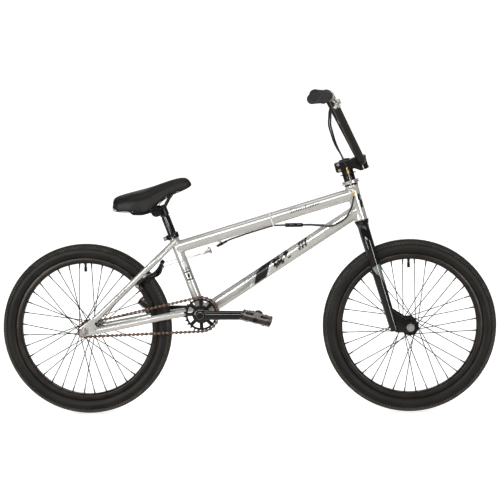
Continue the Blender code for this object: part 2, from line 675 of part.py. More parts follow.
def front_dropout_outline():
    """The fork's dropout: a wedge from the leg to a round end, its slot open forward."""
    slot = FRONT_AXLE_RADIUS + GAP
    outline = arc(slot, 270, 90, 6)
    outline += arc(0.0142, 21, 75, 4)
    outline += [(-0.0500, 0.0480), (-0.0560, 0.0470), (-0.0500, -0.0095), (-0.0400, -0.0138)]
    outline += arc(0.0142, -90, -21, 4)
    return outline


def stem_outline():
    """The stem from the side, as (forward, along) points."""
    low = STEM_BASE
    return [(-0.0320, low + 0.003), (-0.0300, low), (0.0210, low), (0.0330, 0.0900),
            (0.0375, 0.0870), (BAR_FORWARD - 0.0012, 0.0870), (BAR_FORWARD - 0.0012, STEM_TOP + 0.0010),
            (0.0300, STEM_TOP + 0.0010), (0.0200, STEM_TOP), (-0.0290, STEM_TOP),
            (-0.0320, STEM_TOP - 0.003)]


def cap_outline():
    face = 0.0617
    back = BAR_FORWARD + 0.0008
    return [(back, 0.0880), (face - 0.004, 0.0880), (face, 0.0920), (face, 0.1270),
            (face - 0.004, STEM_TOP + 0.0010), (back, STEM_TOP + 0.0010)]


def head_view():
    """A matrix with local X along HEAD_FORWARD and local Y along HEAD_DIR."""
    matrix = Matrix((HEAD_FORWARD, HEAD_DIR, -ACROSS)).transposed().to_4x4()
    return Matrix.Translation(HEAD_MIDDLE) @ matrix


def make_stem():
    body = plate("stem_body", [stem_outline()], 0.0506, head_view())
    cap = plate("stem_faceplate", [cap_outline()], 0.0506, head_view())
    steerer_bore = cylinder("stem_steerer_bore", head(0, 0.08), head(0, 0.14),
                            STEERER_RADIUS + GAP, sides=24)
    for piece in (body, cap):
        bar_bore = cylinder(piece.name + "_bar_bore", head(BAR_FORWARD, BAR_ALONG, -0.04),
                            head(BAR_FORWARD, BAR_ALONG, 0.04), BAR_RADIUS + GAP, sides=24)
        cut(piece, bar_bore)
    slit = box("stem_slit", head(-0.0250, 0.1133), (0.0020, 0.0200, 0.0400), HEAD_DIR)
    cut(body, steerer_bore, slit)
    hang(STEERING, part(body, "black_alloy"), part(cap, "black_alloy"))


BAR_BEND_LOW = head(BAR_FORWARD, BAR_ALONG, 0.040)
BAR_BEND_HIGH = Vector((0.2540, 0.183, 0.9262))
GRIP_END = Vector((0.2075, 0.355, 0.9262))
GRIP_INNER = 0.230
CROSSBAR_PART = 0.62


def mirrored(point, side):
    return Vector((point.x, side * point.y, point.z))


def along_grip(across, side):
    """A point on the bar's straight outer end, by its distance from the centre plane."""
    share = (across - BAR_BEND_HIGH.y) / (GRIP_END.y - BAR_BEND_HIGH.y)
    return mirrored(BAR_BEND_HIGH.lerp(GRIP_END, share), side)


def make_bars():
    corners = [along_grip(0.3520, -1), mirrored(BAR_BEND_HIGH, -1), mirrored(BAR_BEND_LOW, -1),
               mirrored(BAR_BEND_LOW, 1), mirrored(BAR_BEND_HIGH, 1), along_grip(0.3520, 1)]
    bar = swept("handlebar", rounded(corners, [0.030, 0.022, 0.022, 0.030], 3), BAR_RADIUS,
                resolution=4)
    ends = []
    for side in (-1, 1):
        low, high = mirrored(BAR_BEND_LOW, side), mirrored(BAR_BEND_HIGH, side)
        ends.append(low.lerp(high, CROSSBAR_PART))
    cross = cylinder("crossbar", ends[0], ends[1], 0.0085, sides=20)
    for side in (-1, 1):
        cut(cross, cylinder(side_name("crossbar_mitre", side), mirrored(BAR_BEND_LOW, side),
                            mirrored(BAR_BEND_HIGH, side), BAR_RADIUS + GAP, sides=24))
    hang(STEERING, part(bar, "black_paint"), part(cross, "black_paint"))
    for side in (-1, 1):
        outward = (along_grip(0.355, side) - along_grip(0.2, side)).normalized()
        start = along_grip(GRIP_INNER, side)
        length = (along_grip(0.3560, side) - start).length
        wall = BAR_RADIUS + GAP
        inside = (along_grip(0.3520, side) - start).length + GAP
        grip = turned(side_name("grip", side), [
            (0.0, length), (0.0135, length), (0.0165, length - 0.002), (0.0165, length - 0.006),
            (0.0155, length - 0.008), (0.0155, 0.006), (0.0175, 0.003), (0.0175, 0.0), (wall, 0.0),
            (wall, inside), (0.0, inside)], start, outward, 16, closed=False)
        hang(STEERING, part(grip, "grip_rubber"))


# ------------------------------------------------------------------- lever and cables
LEVER_ACROSS = 0.2050
LEVER_DROP = math.radians(36.0)
LEVER_OUT = Vector((math.cos(LEVER_DROP), 0.0, -math.sin(LEVER_DROP)))
LEVER_PIVOT_OUT = 0.0330


def lever_frame():
    """Clamp centre, direction along the grip outwards, direction to the pivot, hinge axis."""
    centre = along_grip(LEVER_ACROSS, -1)
    outward = (along_grip(0.33, -1) - along_grip(0.22, -1)).normalized()
    reach = (LEVER_OUT - outward * LEVER_OUT.dot(outward)).normalized()
    hinge = outward.cross(reach).normalized()
    return centre, outward, reach, hinge


def make_lever():
    centre, outward, reach, hinge = lever_frame()
    pivot = centre + reach * LEVER_PIVOT_OUT
    bracket = cylinder("brake_lever_bracket", centre - outward * 0.0060, centre + outward * 0.0060,
                       0.0155, sides=18)
    arm = box("lever_bracket_arm", centre + reach * 0.0240, (0.0112, 0.0110, 0.0280), reach, outward)
    fork = cylinder("lever_bracket_eye", pivot - hinge * 0.0075, pivot + hinge * 0.0075, 0.0085, sides=16)
    barrel = cylinder("lever_bracket_barrel", centre + reach * 0.0240 - outward * 0.0040,
                      centre + reach * 0.0240 - outward * 0.0230, 0.0042, sides=12)
    pin = cylinder("lever_pin", pivot - hinge * 0.0070, pivot + hinge * 0.0070, 0.0024, sides=12)
    slot = box("lever_bracket_slot", pivot + reach * 0.0010, (0.0300, 0.0068, 0.0210), reach, outward)
    bore = cylinder("lever_bracket_bore", centre - outward * 0.02, centre + outward * 0.02,
                    BAR_RADIUS + GAP, sides=18)
    join(bracket, arm, fork, barrel)
    cut(bracket, slot, bore)
    join(bracket, pin)
    hang(STEERING, part(bracket, "black_alloy"))

    blade = cylinder("brake_lever", pivot - hinge * 0.0026, pivot + hinge * 0.0026, 0.0070, sides=16)
    route = [pivot + outward * 0.002, pivot + outward * 0.020 + reach * 0.012,
             pivot + outward * 0.050 + reach * 0.019, pivot + outward * 0.085 + reach * 0.017,
             pivot + outward * 0.105 + reach * 0.022]
    finger = swept("brake_lever_blade", rounded(route, 0.03, 2), 0.0030, resolution=2)
    tip = cylinder("brake_lever_tip", route[-1] - hinge * 0.0040, route[-1] + hinge * 0.0040, 0.0050,
                   sides=12)
    hole = cylinder("brake_lever_hole", pivot - hinge * 0.01, pivot + hinge * 0.01, 0.0024 + GAP,
                    sides=12)
    join(blade, finger, tip)
    cut(blade, hole)
    empty = joint_empty("brake_lever_pivot", pivot, STEERING)
    hang(empty, part(blade, "steel"))


HOUSING_RADIUS = 0.0025
WIRE_RADIUS = 0.0008
SPLIT_REAR = Vector((0.1180, 0.0, 0.5546))
SPLIT_FRONT = Vector((0.1710, 0.0, 0.5546))
STOP_FRONT = Vector((-0.0660, 0.0, 0.5042))
WIRE_DIR = Vector((0.892, 0.0, 0.452)).normalized()


def make_upper_cable():
    """One housing from the lever, then a pair down to the gyro's top plate."""
    centre, outward, reach, hinge = lever_frame()
    barrel_end = centre + reach * 0.0240 - outward * (0.0230 + GAP)
    fork_point = Vector((0.2650, -0.1280, 0.9120))
    lead = swept("upper_brake_cable", rounded([
        barrel_end, barrel_end - outward * 0.008,
        barrel_end - outward * 0.026 + Vector((0.0, 0.0, 0.004)), fork_point], 0.02, 3),
        HOUSING_RADIUS, resolution=1)
    knot = cylinder("upper_cable_splitter", fork_point + Vector((0.003, -0.010, 0.004)),
                    fork_point + Vector((-0.003, 0.010, -0.004)), 0.0050, sides=12)
    join(lead, knot)
    for side in (-1, 1):
        top = head(0, 0.1060, side * CABLE_ACROSS)
        route = [fork_point + Vector((0.0, side * 0.0022, 0.0)),
                 Vector((0.2540, -0.1050 + side * 0.0040, 0.8900)),
                 Vector((0.2525, -0.0500 + side * 0.0200, 0.8450)),
                 Vector((0.2690, side * 0.0330, 0.7900)), head(-0.0030, 0.1400, side * 0.0318), top]
        housing = swept(side_name("upper_housing", side), rounded(route, 0.08, 2), HOUSING_RADIUS,
                        resolution=1)
        adjuster = sleeve(side_name("upper_adjuster", side), head(0, 0.0885 + GAP, side * CABLE_ACROSS),
                          head(0, 0.1080, side * CABLE_ACROSS), 0.0036, 0.0014, 8)
        join(lead, join(adjuster, housing))
    hang(STEERING, part(lead, "housing_plastic"))


def make_lower_cable():
    """Two housings from the frame's tabs into a splitter, then one to the rear stop."""
    cable = cylinder("lower_brake_cable", SPLIT_REAR, SPLIT_FRONT, 0.0060, sides=12)
    for side in (-1, 1):
        bottom = head(0, 0.0235, side * CABLE_ACROSS)
        route = [bottom, Vector((0.3165, side * 0.0305, 0.6100)), Vector((0.2980, side * 0.0300, 0.5720)),
                 Vector((0.2587, side * 0.0262, 0.5520)), Vector((0.2250, side * 0.0150, 0.5520)),
                 Vector((0.1960, side * 0.0045, 0.5546)), SPLIT_FRONT + Vector((-0.005, side * 0.003, 0))]
        housing = swept(side_name("lower_housing", side), rounded(route, 0.05, 2), HOUSING_RADIUS,
                        resolution=1)
        adjuster = sleeve(side_name("lower_adjuster", side), head(0, 0.0215, side * CABLE_ACROSS),
                          head(0, TAB_ALONG - 0.0020 - GAP, side * CABLE_ACROSS), 0.0036, 0.0014, 8)
        join(cable, join(adjuster, housing))
    under = TOP_TUBE_RADIUS + HOUSING_RADIUS + 0.0006
    tube_dir = (TOP_TUBE_FRONT - TOP_TUBE_REAR).normalized()
    drop = Vector((tube_dir.z, 0.0, -tube_dir.x)) * under
    rear = [SPLIT_REAR + Vector((0.004, 0, 0)), SPLIT_REAR - Vector((0.012, 0, 0)),
            TOP_TUBE_REAR + tube_dir * 0.290 + drop, TOP_TUBE_REAR + tube_dir * 0.205 + drop,
            STOP_FRONT + WIRE_DIR * 0.022, STOP_FRONT]
    join(cable, swept("rear_housing", rounded(rear, 0.06, 3), HOUSING_RADIUS, resolution=1))
    part(cable, "housing_plastic")


def make_cable_stop():
    """A stop brazed under the top tube, with a hollow adjuster for the inner wire."""
    front = STOP_FRONT - WIRE_DIR * GAP
    stop = sleeve("cable_stop", front - WIRE_DIR * 0.0200, front, 0.0046, 0.0014, 16)
    tube_dir = (TOP_TUBE_FRONT - TOP_TUBE_REAR).normalized()
    web = box("cable_stop_web", front - WIRE_DIR * 0.0070 + Vector((-0.0025, 0, 0.0090)),
              (0.0040, 0.0100, 0.0130), Vector((-tube_dir.z, 0.0, tube_dir.x)))
    tube = cylinder("cable_stop_mitre", TOP_TUBE_REAR, TOP_TUBE_FRONT, TOP_TUBE_RADIUS + GAP, sides=32)
    join(stop, cut(web, tube))
    part(stop, "frame_paint")


def make_hanger():
    """The straddle hanger with the inner wire ahead of it and the straddle wire behind."""
    disc_at = Vector((-0.1052, 0.0, 0.4844))
    yoke_end = disc_at - WIRE_DIR * 0.0240
    hanger = cylinder("cable_hanger", disc_at - WIRE_DIR * 0.0025, disc_at + WIRE_DIR * 0.0025, 0.0110,
                      sides=20)
    neck = cylinder("cable_hanger_neck", yoke_end, disc_at, 0.0030, 0.0055, sides=12)
    wire = cylinder("cable_hanger_wire", disc_at, STOP_FRONT - WIRE_DIR * 0.0080, WIRE_RADIUS, sides=6)
    join(hanger, neck, wire)
    for side in (-1, 1):
        high = ARM_LAYERS[-side][1]
        tip = brake_point(TIP_UP + 0.0015, high + 0.0013, side * (TIP_ACROSS + 0.0078))
        hook = yoke_end + WIRE_DIR * 0.004
        straddle = cylinder(side_name("straddle_wire", side), hook, tip, WIRE_RADIUS, sides=6)
        join(hanger, straddle)
    empty = joint_empty("cable_hanger_slide", disc_at)
    hang(empty, part(hanger, "steel"))


# -------------------------------------------------------------------------- wheels
def tyre_profile():
    """Outer bulb from one bead over the tread to the other, then back inside."""
    centre = TYRE_RADIUS - TYRE_SECTION
    outer = [(0.2036, 0.0116), (0.2128, 0.0128), (0.2168, 0.0210)]
    outer += [(centre + TYRE_SECTION * math.cos(math.radians(angle)),
               TYRE_SECTION * math.sin(math.radians(angle))) for angle in (92, 56, 20)]
    outer += [(TYRE_RADIUS, 0.0)] + [(radius, -height) for radius, height in reversed(outer)]
    inner = [(0.2036, -0.0096), (0.2150, -0.0106), (0.2200, -0.0190), (0.2458, -0.0125)]
    inner += [(radius, -height) for radius, height in reversed(inner)]
    return outer + inner


def rim_profile():
    """A box-like rim whose side walls stand up outside the tyre's beads."""
    half = RIM_HALF
    outer = [(0.2125, half), (0.2125, half - 0.0022), (0.2030, half - 0.0030),
             (0.2030, -half + 0.0030), (0.2125, -half + 0.0022), (0.2125, -half), (0.1995, -half),
             (0.1966, -0.0110), (0.1966, 0.0110), (0.1995, half)]
    return outer[::-1]


WHEEL_STEPS = 40
SPOKE_COUNT = 36


def make_spokes(name, axle, flange_radius, flange_across):
    """Thirty-six spokes laced three-cross, held by thin rings at the flanges and rim."""
    hoop = turned(name, [(0.1938, 0.0032), (0.1958, 0.0032), (0.1958, -0.0032), (0.1938, -0.0032)],
                  axle, ACROSS, 36)
    for side in (-1, 1):
        middle = side * (flange_across + 0.0050)
        ring = turned(name + "_flange_ring", [
            (flange_radius - 0.0020, 0.0028), (flange_radius + 0.0014, 0.0028),
            (flange_radius + 0.0014, -0.0028), (flange_radius - 0.0020, -0.0028)],
            axle + ACROSS * middle, ACROSS, 18)
        join(hoop, ring)
        for index in range(SPOKE_COUNT // 2):
            lean = 1 if index % 2 else -1
            rim_angle = 2 * math.pi * (2 * index + (0.5 if side > 0 else -0.5)) / SPOKE_COUNT
            hub_angle = rim_angle + lean * math.radians(60.0)
            start = axle + Vector((flange_radius * math.cos(hub_angle), middle + lean * 0.0020,
                                   flange_radius * math.sin(hub_angle)))
            end = axle + Vector((0.1947 * math.cos(rim_angle), side * 0.0018,
                                 0.1947 * math.sin(rim_angle)))
            join(hoop, cylinder(name + "_spoke", start, end, 0.0012, sides=3))
    return hoop


def make_hub(name, axle, flange_radius, flange_across, shell_radius, end, bore):
    """A hub shell turned around its axle, with two spoke flanges."""
    f, w = flange_across, 0.0017
    profile = [(bore, end), (0.0125, end), (0.0135, f + w), (flange_radius + 0.0005, f + w),
               (flange_radius + 0.0005, f - w), (shell_radius, f - w - 0.003),
               (shell_radius, -f + w + 0.003), (flange_radius + 0.0005, -f + w),
               (flange_radius + 0.0005, -f - w), (0.0135, -f - w), (0.0125, -end), (bore, -end)]
    return turned(name, profile, axle, ACROSS, 18)


def make_wheel(prefix, axle, empty, hub_sizes):
    tyre = turned(prefix + "_tyre", tyre_profile(), axle, ACROSS, WHEEL_STEPS)
    rim = turned(prefix + "_rim", rim_profile()[::-1], axle, ACROSS, WHEEL_STEPS)
    valve = cylinder(prefix + "_valve", axle + Vector((0, 0, 0.1600)), axle + Vector((0, 0, 0.1985)),
                     0.0030, sides=10)
    join(rim, valve)
    flange_radius, flange_across = hub_sizes[0], hub_sizes[1]
    spokes = make_spokes(prefix + "_spokes", axle, flange_radius, flange_across)
    clear = cylinder(prefix + "_valve_room", axle + Vector((0, 0, 0.1500)),
                     axle + Vector((0, 0, 0.2100)), 0.0030 + GAP, sides=10)
    cut(spokes, clear)
    hub = make_hub(prefix + "_hub", axle, *hub_sizes)
    hang(empty, part(tyre, "tyre_rubber"), part(rim, "black_alloy"),
         part(spokes, "black_alloy"), part(hub, "black_alloy"))


def nut_and_axle(name, axle, radius, inside, outside, end, hex_radius, body_radius):
    """An axle with its washers, hexagon nuts and the locknuts inside the dropouts."""
    rod = cylinder(name, axle - ACROSS * end, axle + ACROSS * end, radius, sides=12)
    for side in (-1, 1):
        lock = cylinder(side_name(name + "_locknut", side), axle + ACROSS * side * (inside - 0.006),
                        axle + ACROSS * side * (inside - GAP), body_radius, sides=12)
        washer = cylinder(side_name(name + "_washer", side), axle + ACROSS * side * (outside + GAP),
                          axle + ACROSS * side * (outside + 0.0022), hex_radius + 0.0012, sides=16)
        nut = cylinder(side_name(name + "_nut", side), axle + ACROSS * side * (outside + 0.0015),
                       axle + ACROSS * side * (end - 0.003), hex_radius, sides=6)
        join(rod, lock, washer, nut)
    return part(rod, "steel")


def make_wheels():
    rear_empty = joint_empty("rear_wheel_spin", REAR_AXLE)
    front_empty = joint_empty("front_wheel_spin", FRONT_AXLE, STEERING)
    make_wheel("rear", REAR_AXLE, rear_empty, (0.0235, 0.0290, 0.0150, 0.0330, 0.0074))
    make_wheel("front", FRONT_AXLE, front_empty, (0.0248, 0.0345, 0.0130, 0.0400, 0.0052))
    nut_and_axle("rear_axle", REAR_AXLE, REAR_AXLE_RADIUS, DROPOUT_INSIDE,
                 DROPOUT_INSIDE + DROPOUT_THICKNESS, 0.0745, 0.0110, 0.0105)
    front = nut_and_axle("front_axle", FRONT_AXLE, FRONT_AXLE_RADIUS, FRONT_DROPOUT_INSIDE,
                         FRONT_DROPOUT_INSIDE + FRONT_DROPOUT_THICKNESS, 0.0690, 0.0095, 0.0080)
    hang(STEERING, front)


# ---------------------------------------------------------------------- drive train
def pitch_radius(teeth):
    return CHAIN_PITCH / (2 * math.sin(math.pi / teeth))


def toothed_outline(teeth):
    """A sprocket's edge: a low flat, a rising flank and a narrow tip for each tooth."""
    radius = pitch_radius(teeth)
    root, tip = radius - 0.0041, radius + 0.0020
    outline = []
    for tooth in range(teeth):
        for part_turn, reach in ((-0.28, root), (-0.07, tip), (0.07, tip), (0.28, root)):
            angle = 2 * math.pi * (tooth + part_turn) / teeth
            outline.append((reach * math.cos(angle), reach * math.sin(angle)))
    return outline


RING_WINDOWS = 8
WINDOW_INNER = 0.0215
WINDOW_OUTER = 0.0405


def make_chainring():
    windows = []
    for index in range(RING_WINDOWS):
        middle = 360.0 * (index + 0.5) / RING_WINDOWS
        windows.append(arc(WINDOW_OUTER, middle - 17, middle + 17, 3)
                       + arc(WINDOW_INNER, middle + 12, middle - 12, 1))
    bore = arc(0.0110 + GAP, 0, 342, 19)
    ring = plate("chainring", [toothed_outline(RING_TEETH), bore] + windows, 0.0030,
                 side_view(BOTTOM_BRACKET + ACROSS * CHAIN_LINE))
    return part(ring, "black_alloy")


def make_crank():
    empty = joint_empty("crank_spin", BOTTOM_BRACKET)
    spindle = turned("crank_spindle", [
        (0.0, 0.0775), (0.0110, 0.0775), (0.0110, -0.0355), (0.0150, -0.0355), (0.0150, -0.0402),
        (0.0110, -0.0402), (0.0110, -0.0775), (0.0, -0.0775)], BOTTOM_BRACKET, ACROSS, 20,
        closed=False)
    hang(empty, part(spindle, "steel"), make_chainring())
    for side in (-1, 1):
        forward = Vector((-side, 0, 0))
        end = BOTTOM_BRACKET + forward * CRANK_LENGTH
        name = side_name("crank_arm", side)
        arm = cylinder(name, BOTTOM_BRACKET + ACROSS * side * 0.0465,
                       BOTTOM_BRACKET + ACROSS * side * 0.0750, 0.0185, sides=20)
        tube = swept(name + "_tube", [BOTTOM_BRACKET + ACROSS * side * 0.0610 + forward * 0.005,
                                      end + ACROSS * side * 0.0765 - forward * 0.0128], 0.0122,
                     [1.08, 0.95], 3)
        eye = cylinder(name + "_eye", end + ACROSS * side * 0.0680, end + ACROSS * side * 0.0870,
                       0.0145, sides=16)
        bores = [cylinder(name + "_spindle_bore", BOTTOM_BRACKET + ACROSS * side * 0.04,
                          BOTTOM_BRACKET + ACROSS * side * 0.09, 0.0110 + GAP, sides=16),
                 cylinder(name + "_pedal_bore", end + ACROSS * side * 0.06,
                          end + ACROSS * side * 0.10, 0.0070 + GAP, sides=12)]
        join(arm, tube, eye)
        cut(arm, *bores)
        axle_name = side_name("pedal_axle", side)
        axle = turned(axle_name, [
            (0.0, 0.109), (0.0045, 0.109), (0.0050, 0.019), (0.0100, 0.019), (0.0100, 0.0173),
            (0.0070, 0.0173), (0.0070, 0.0), (0.0, 0.0)], end + ACROSS * side * 0.0700,
            ACROSS * side, 12, closed=False)
        hang(empty, part(arm, "black_paint"), part(axle, "steel"))
        make_pedal(side, end, empty)

    bearings = turned("bottom_bracket_bearings", [
        (0.0110 + GAP, 0.0335), (SHELL_BORE - GAP, 0.0335), (SHELL_BORE - GAP, 0.0265),
        (0.0140, 0.0265), (0.0140, -0.0265), (SHELL_BORE - GAP, -0.0265),
        (SHELL_BORE - GAP, -0.0335), (0.0110 + GAP, -0.0335)], BOTTOM_BRACKET, ACROSS, 20)
    part(bearings, "bearing_steel")


def make_pedal(side, end, crank_empty):
    """A flat platform body with two windows, free on its axle."""
    centre = end + ACROSS * side * PEDAL_MIDDLE
    tilt = PEDAL_TILT_RIGHT if side < 0 else PEDAL_TILT_LEFT
    forward = Vector((math.cos(tilt), 0, -math.sin(tilt)))
    up = Vector((math.sin(tilt), 0, math.cos(tilt)))
    flat = Matrix((forward, up.cross(forward), up)).transposed().to_4x4()
    flat = Matrix.Translation(centre) @ flat
    long, wide = 0.0445, 0.0455
    corner = 0.010
    outline = [(-long + corner, -wide), (long - corner, -wide), (long, -wide + corner),
               (long, wide - corner), (long - corner, wide), (-long + corner, wide),
               (-long, wide - corner), (-long, -wide + corner)]
    windows = []
    for way in (-1, 1):
        near, far = sorted((way * 0.0135, way * 0.0340))
        windows.append([(near, -0.032), (far, -0.032), (far, 0.032), (near, 0.032)])
    body = plate(side_name("pedal", side), [outline] + windows, 0.0230, flat)
    bore = cylinder(side_name("pedal_bore", side), end + ACROSS * side * 0.080,
                    end + ACROSS * side * 0.1795, 0.0050 + GAP, sides=16)
    cut(body, bore)
    empty = joint_empty(side_name("pedal_spin", side), centre, crank_empty)
    hang(empty, part(body, "pedal_plastic"))


def make_cog():
    cog = plate("rear_cog", [toothed_outline(COG_TEETH)], 0.0030,
                side_view(REAR_AXLE + ACROSS * CHAIN_LINE))
    driver = cylinder("rear_cog_driver", REAR_AXLE - ACROSS * 0.0352, REAR_AXLE - ACROSS * 0.0478,
                      0.0132, sides=24)
    bore = cylinder("rear_cog_bore", REAR_AXLE - ACROSS * 0.03, REAR_AXLE - ACROSS * 0.06,
                    REAR_AXLE_RADIUS + GAP, sides=24)
    join(cog, driver)
    cut(cog, bore)
    empty = joint_empty("rear_cog_spin", REAR_AXLE)
    hang(empty, part(cog, "steel"))


CHAIN_INSIDE = 0.0022
CHAIN_OUTSIDE = 0.0040
CHAIN_HALF_HEIGHT = 0.0043
CHAIN_ROOF = 0.0026


def chain_path():
    """The pitch line round cog and ring as (forward, up) from the bottom bracket."""
    gap_x = REAR_AXLE.x - BOTTOM_BRACKET.x
    gap_z = REAR_AXLE.z - BOTTOM_BRACKET.z
    big, small = pitch_radius(RING_TEETH), pitch_radius(COG_TEETH)
    slope = math.degrees(math.atan2(-gap_z, -gap_x))
    dip = math.degrees(math.asin((big - small) / math.hypot(gap_x, gap_z)))
    around_ring = arc(big, slope - 90 - dip, slope + 90 + dip, 16)
    around_cog = arc(small, slope + 90 + dip, slope + 270 - dip, 8, centre=(gap_x, gap_z))
    return around_ring + around_cog


def make_chain():
    """The chain as one hollow band, open towards the teeth: its links are left to looks."""
    profile = bpy.data.curves.new("chain_profile", "CURVE")
    profile.dimensions = "2D"
    outline = [(-CHAIN_HALF_HEIGHT, -CHAIN_OUTSIDE), (CHAIN_HALF_HEIGHT, -CHAIN_OUTSIDE),
               (CHAIN_HALF_HEIGHT, CHAIN_OUTSIDE), (-CHAIN_HALF_HEIGHT, CHAIN_OUTSIDE),
               (-CHAIN_HALF_HEIGHT, CHAIN_INSIDE), (CHAIN_ROOF, CHAIN_INSIDE),
               (CHAIN_ROOF, -CHAIN_INSIDE), (-CHAIN_HALF_HEIGHT, -CHAIN_INSIDE)]
    spline = profile.splines.new("POLY")
    spline.points.add(len(outline) - 1)
    for spot, (up, across) in zip(spline.points, outline):
        spot.co = (-up, across, 0.0, 1.0)
    spline.use_cyclic_u = True
    guide = place("chain_profile", profile, Matrix.Identity(4))
    curve = bpy.data.curves.new("chain", "CURVE")
    curve.dimensions = "2D"
    curve.fill_mode = "NONE"
    curve.bevel_mode = "OBJECT"
    curve.bevel_object = guide
    run = curve.splines.new("POLY")
    path = chain_path()
    run.points.add(len(path) - 1)
    for spot, (x, y) in zip(run.points, path):
        spot.co = (x, y, 0.0, 1.0)
    run.use_cyclic_u = True
    chain = mesh_of_curve("chain", curve, side_view(BOTTOM_BRACKET + ACROSS * CHAIN_LINE))
    bpy.data.objects.remove(guide, do_unlink=True)
    part(chain, "chain_steel")


# --------------------------------------------------------------------------- build
STEERING = joint_empty("steering", HEAD_MIDDLE)

make_head_tube()
make_main_tubes()
make_stays()
make_brake()
make_seat_group()
make_headset()
make_gyro()
make_fork()
make_stem()
make_bars()
make_lever()
make_upper_cable()
make_lower_cable()
make_cable_stop()
make_hanger()
make_wheels()
make_crank()
make_cog()
make_chain()

STEERING.rotation_mode = "QUATERNION"
STEERING.rotation_quaternion = Matrix.Rotation(STEER_REST, 3, HEAD_DIR).to_quaternion()
bpy.context.view_layer.update()
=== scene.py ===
"""Looks of the BMX bike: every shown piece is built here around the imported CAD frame."""

import math
import random

import bmesh
import bpy
from mathutils import Matrix, Vector


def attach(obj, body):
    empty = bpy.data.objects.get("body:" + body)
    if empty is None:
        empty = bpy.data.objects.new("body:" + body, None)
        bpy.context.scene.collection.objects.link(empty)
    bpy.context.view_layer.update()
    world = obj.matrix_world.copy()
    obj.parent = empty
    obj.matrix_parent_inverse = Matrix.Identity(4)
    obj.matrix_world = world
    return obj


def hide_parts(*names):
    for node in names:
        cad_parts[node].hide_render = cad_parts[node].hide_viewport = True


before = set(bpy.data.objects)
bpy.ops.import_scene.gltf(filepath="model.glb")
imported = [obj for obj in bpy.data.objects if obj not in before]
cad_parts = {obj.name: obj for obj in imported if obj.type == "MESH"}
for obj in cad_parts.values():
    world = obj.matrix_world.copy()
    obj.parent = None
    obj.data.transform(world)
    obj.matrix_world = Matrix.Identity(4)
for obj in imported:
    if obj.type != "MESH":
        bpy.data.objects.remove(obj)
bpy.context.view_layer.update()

# ------------------------------------------------------------- dimensions of the frame
Y = Vector((0.0, 1.0, 0.0))
REAR_AXLE = Vector((-0.4776, 0.0, 0.254))
FRONT_AXLE = Vector((0.4776, 0.0, 0.254))
BB = Vector((-0.1305, 0.0, 0.299))
SEAT_DIR = Vector((-math.cos(math.radians(70)), 0.0, math.sin(math.radians(70))))
SEAT_FORWARD = Vector((SEAT_DIR.z, 0.0, -SEAT_DIR.x))
HEAD_DIR = Vector((-math.cos(math.radians(75)), 0.0, math.sin(math.radians(75))))
HEAD_FORWARD = Vector((HEAD_DIR.z, 0.0, -HEAD_DIR.x))
HEAD_MIDDLE = Vector((0.3282, 0.0, 0.6174))
STEER = (Matrix.Translation(HEAD_MIDDLE) @ Matrix.Rotation(math.radians(3.4), 4, HEAD_DIR)
         @ Matrix.Translation(-HEAD_MIDDLE))
STAY_ANGLE = math.radians(43.2)
STAY_DIR = Vector((math.cos(STAY_ANGLE), 0.0, math.sin(STAY_ANGLE)))
STAY_OUT = Vector((STAY_DIR.z, 0.0, -STAY_DIR.x))
BRAKE_ORIGIN = Vector((-0.3046, 0.0, 0.4221))
SADDLE_PIVOT = Vector((-0.2581, 0.0, 0.6019))
TOP_TUBE = (Vector((-0.200, 0.0, 0.4941)), Vector((0.3205, 0.0, 0.6445)))
DOWN_TUBE = (BB, Vector((0.3340, 0.0, 0.5960)))
BAR_FORWARD, BAR_ALONG = 0.0477, 0.1106
BAR_LOW = HEAD_MIDDLE + HEAD_FORWARD * BAR_FORWARD + HEAD_DIR * BAR_ALONG + Y * 0.040
BAR_HIGH = Vector((0.2540, 0.183, 0.9262))
GRIP_END = Vector((0.2075, 0.355, 0.9262))
CRANK_LENGTH = 0.170
PITCH = 0.0127
CHAIN_LINE = -0.042
RING_TEETH = 25
COG_TEETH = 9
TYRE_CENTRE = 0.2287
BRAKE_POST_ACROSS = 0.0405
CABLE_ACROSS = 0.0300
HOUSING_RADIUS = 0.0025
WIRE_DIR = Vector((0.892, 0.0, 0.452)).normalized()
CABLE_STOP = Vector((-0.0660, 0.0, 0.5042))
HANGER_AT = Vector((-0.1052, 0.0, 0.4844))
STRAP_ALONG = 0.2905


def head(forward, along, across=0.0):
    """A point in the steering axis's own frame, steering straight."""
    return HEAD_MIDDLE + HEAD_FORWARD * forward + HEAD_DIR * along + Y * across


def seat(along, forward=0.0, across=0.0):
    """A point in the seat tube's own frame."""
    return BB + SEAT_DIR * along + SEAT_FORWARD * forward + Y * across


def brake(along, out, across):
    """A point along the seat stays, out from their plane, and across."""
    return BRAKE_ORIGIN + STAY_DIR * along + STAY_OUT * out + Y * across


def rear(forward, up, across=0.0):
    return REAR_AXLE + Vector((forward, across, up))


def name_on(stem, side):
    return stem + ("_right" if side < 0 else "_left")


# --------------------------------------------------------------------------- materials
def new_material(name):
    material = bpy.data.materials.new(name)
    material.use_nodes = True
    return material, material.node_tree.nodes, material.node_tree.links


def add_node(nodes, kind, **settings):
    made = nodes.new(kind)
    for key, value in settings.items():
        if key in made.inputs:
            made.inputs[key].default_value = value
        else:
            setattr(made, key, value)
    return made


def noise_of(nodes, links, scale, detail=4.0, stretch=(1, 1, 1)):
    """Noise in the bike's own coordinates, so that it stays on the piece."""
    place = nodes.new("ShaderNodeTexCoord")
    mapping = nodes.new("ShaderNodeMapping")
    mapping.inputs["Scale"].default_value = stretch
    links.new(place.outputs["Object"], mapping.inputs["Vector"])
    made = add_node(nodes, "ShaderNodeTexNoise", Scale=scale, Detail=detail)
    links.new(mapping.outputs["Vector"], made.inputs["Vector"])
    return made


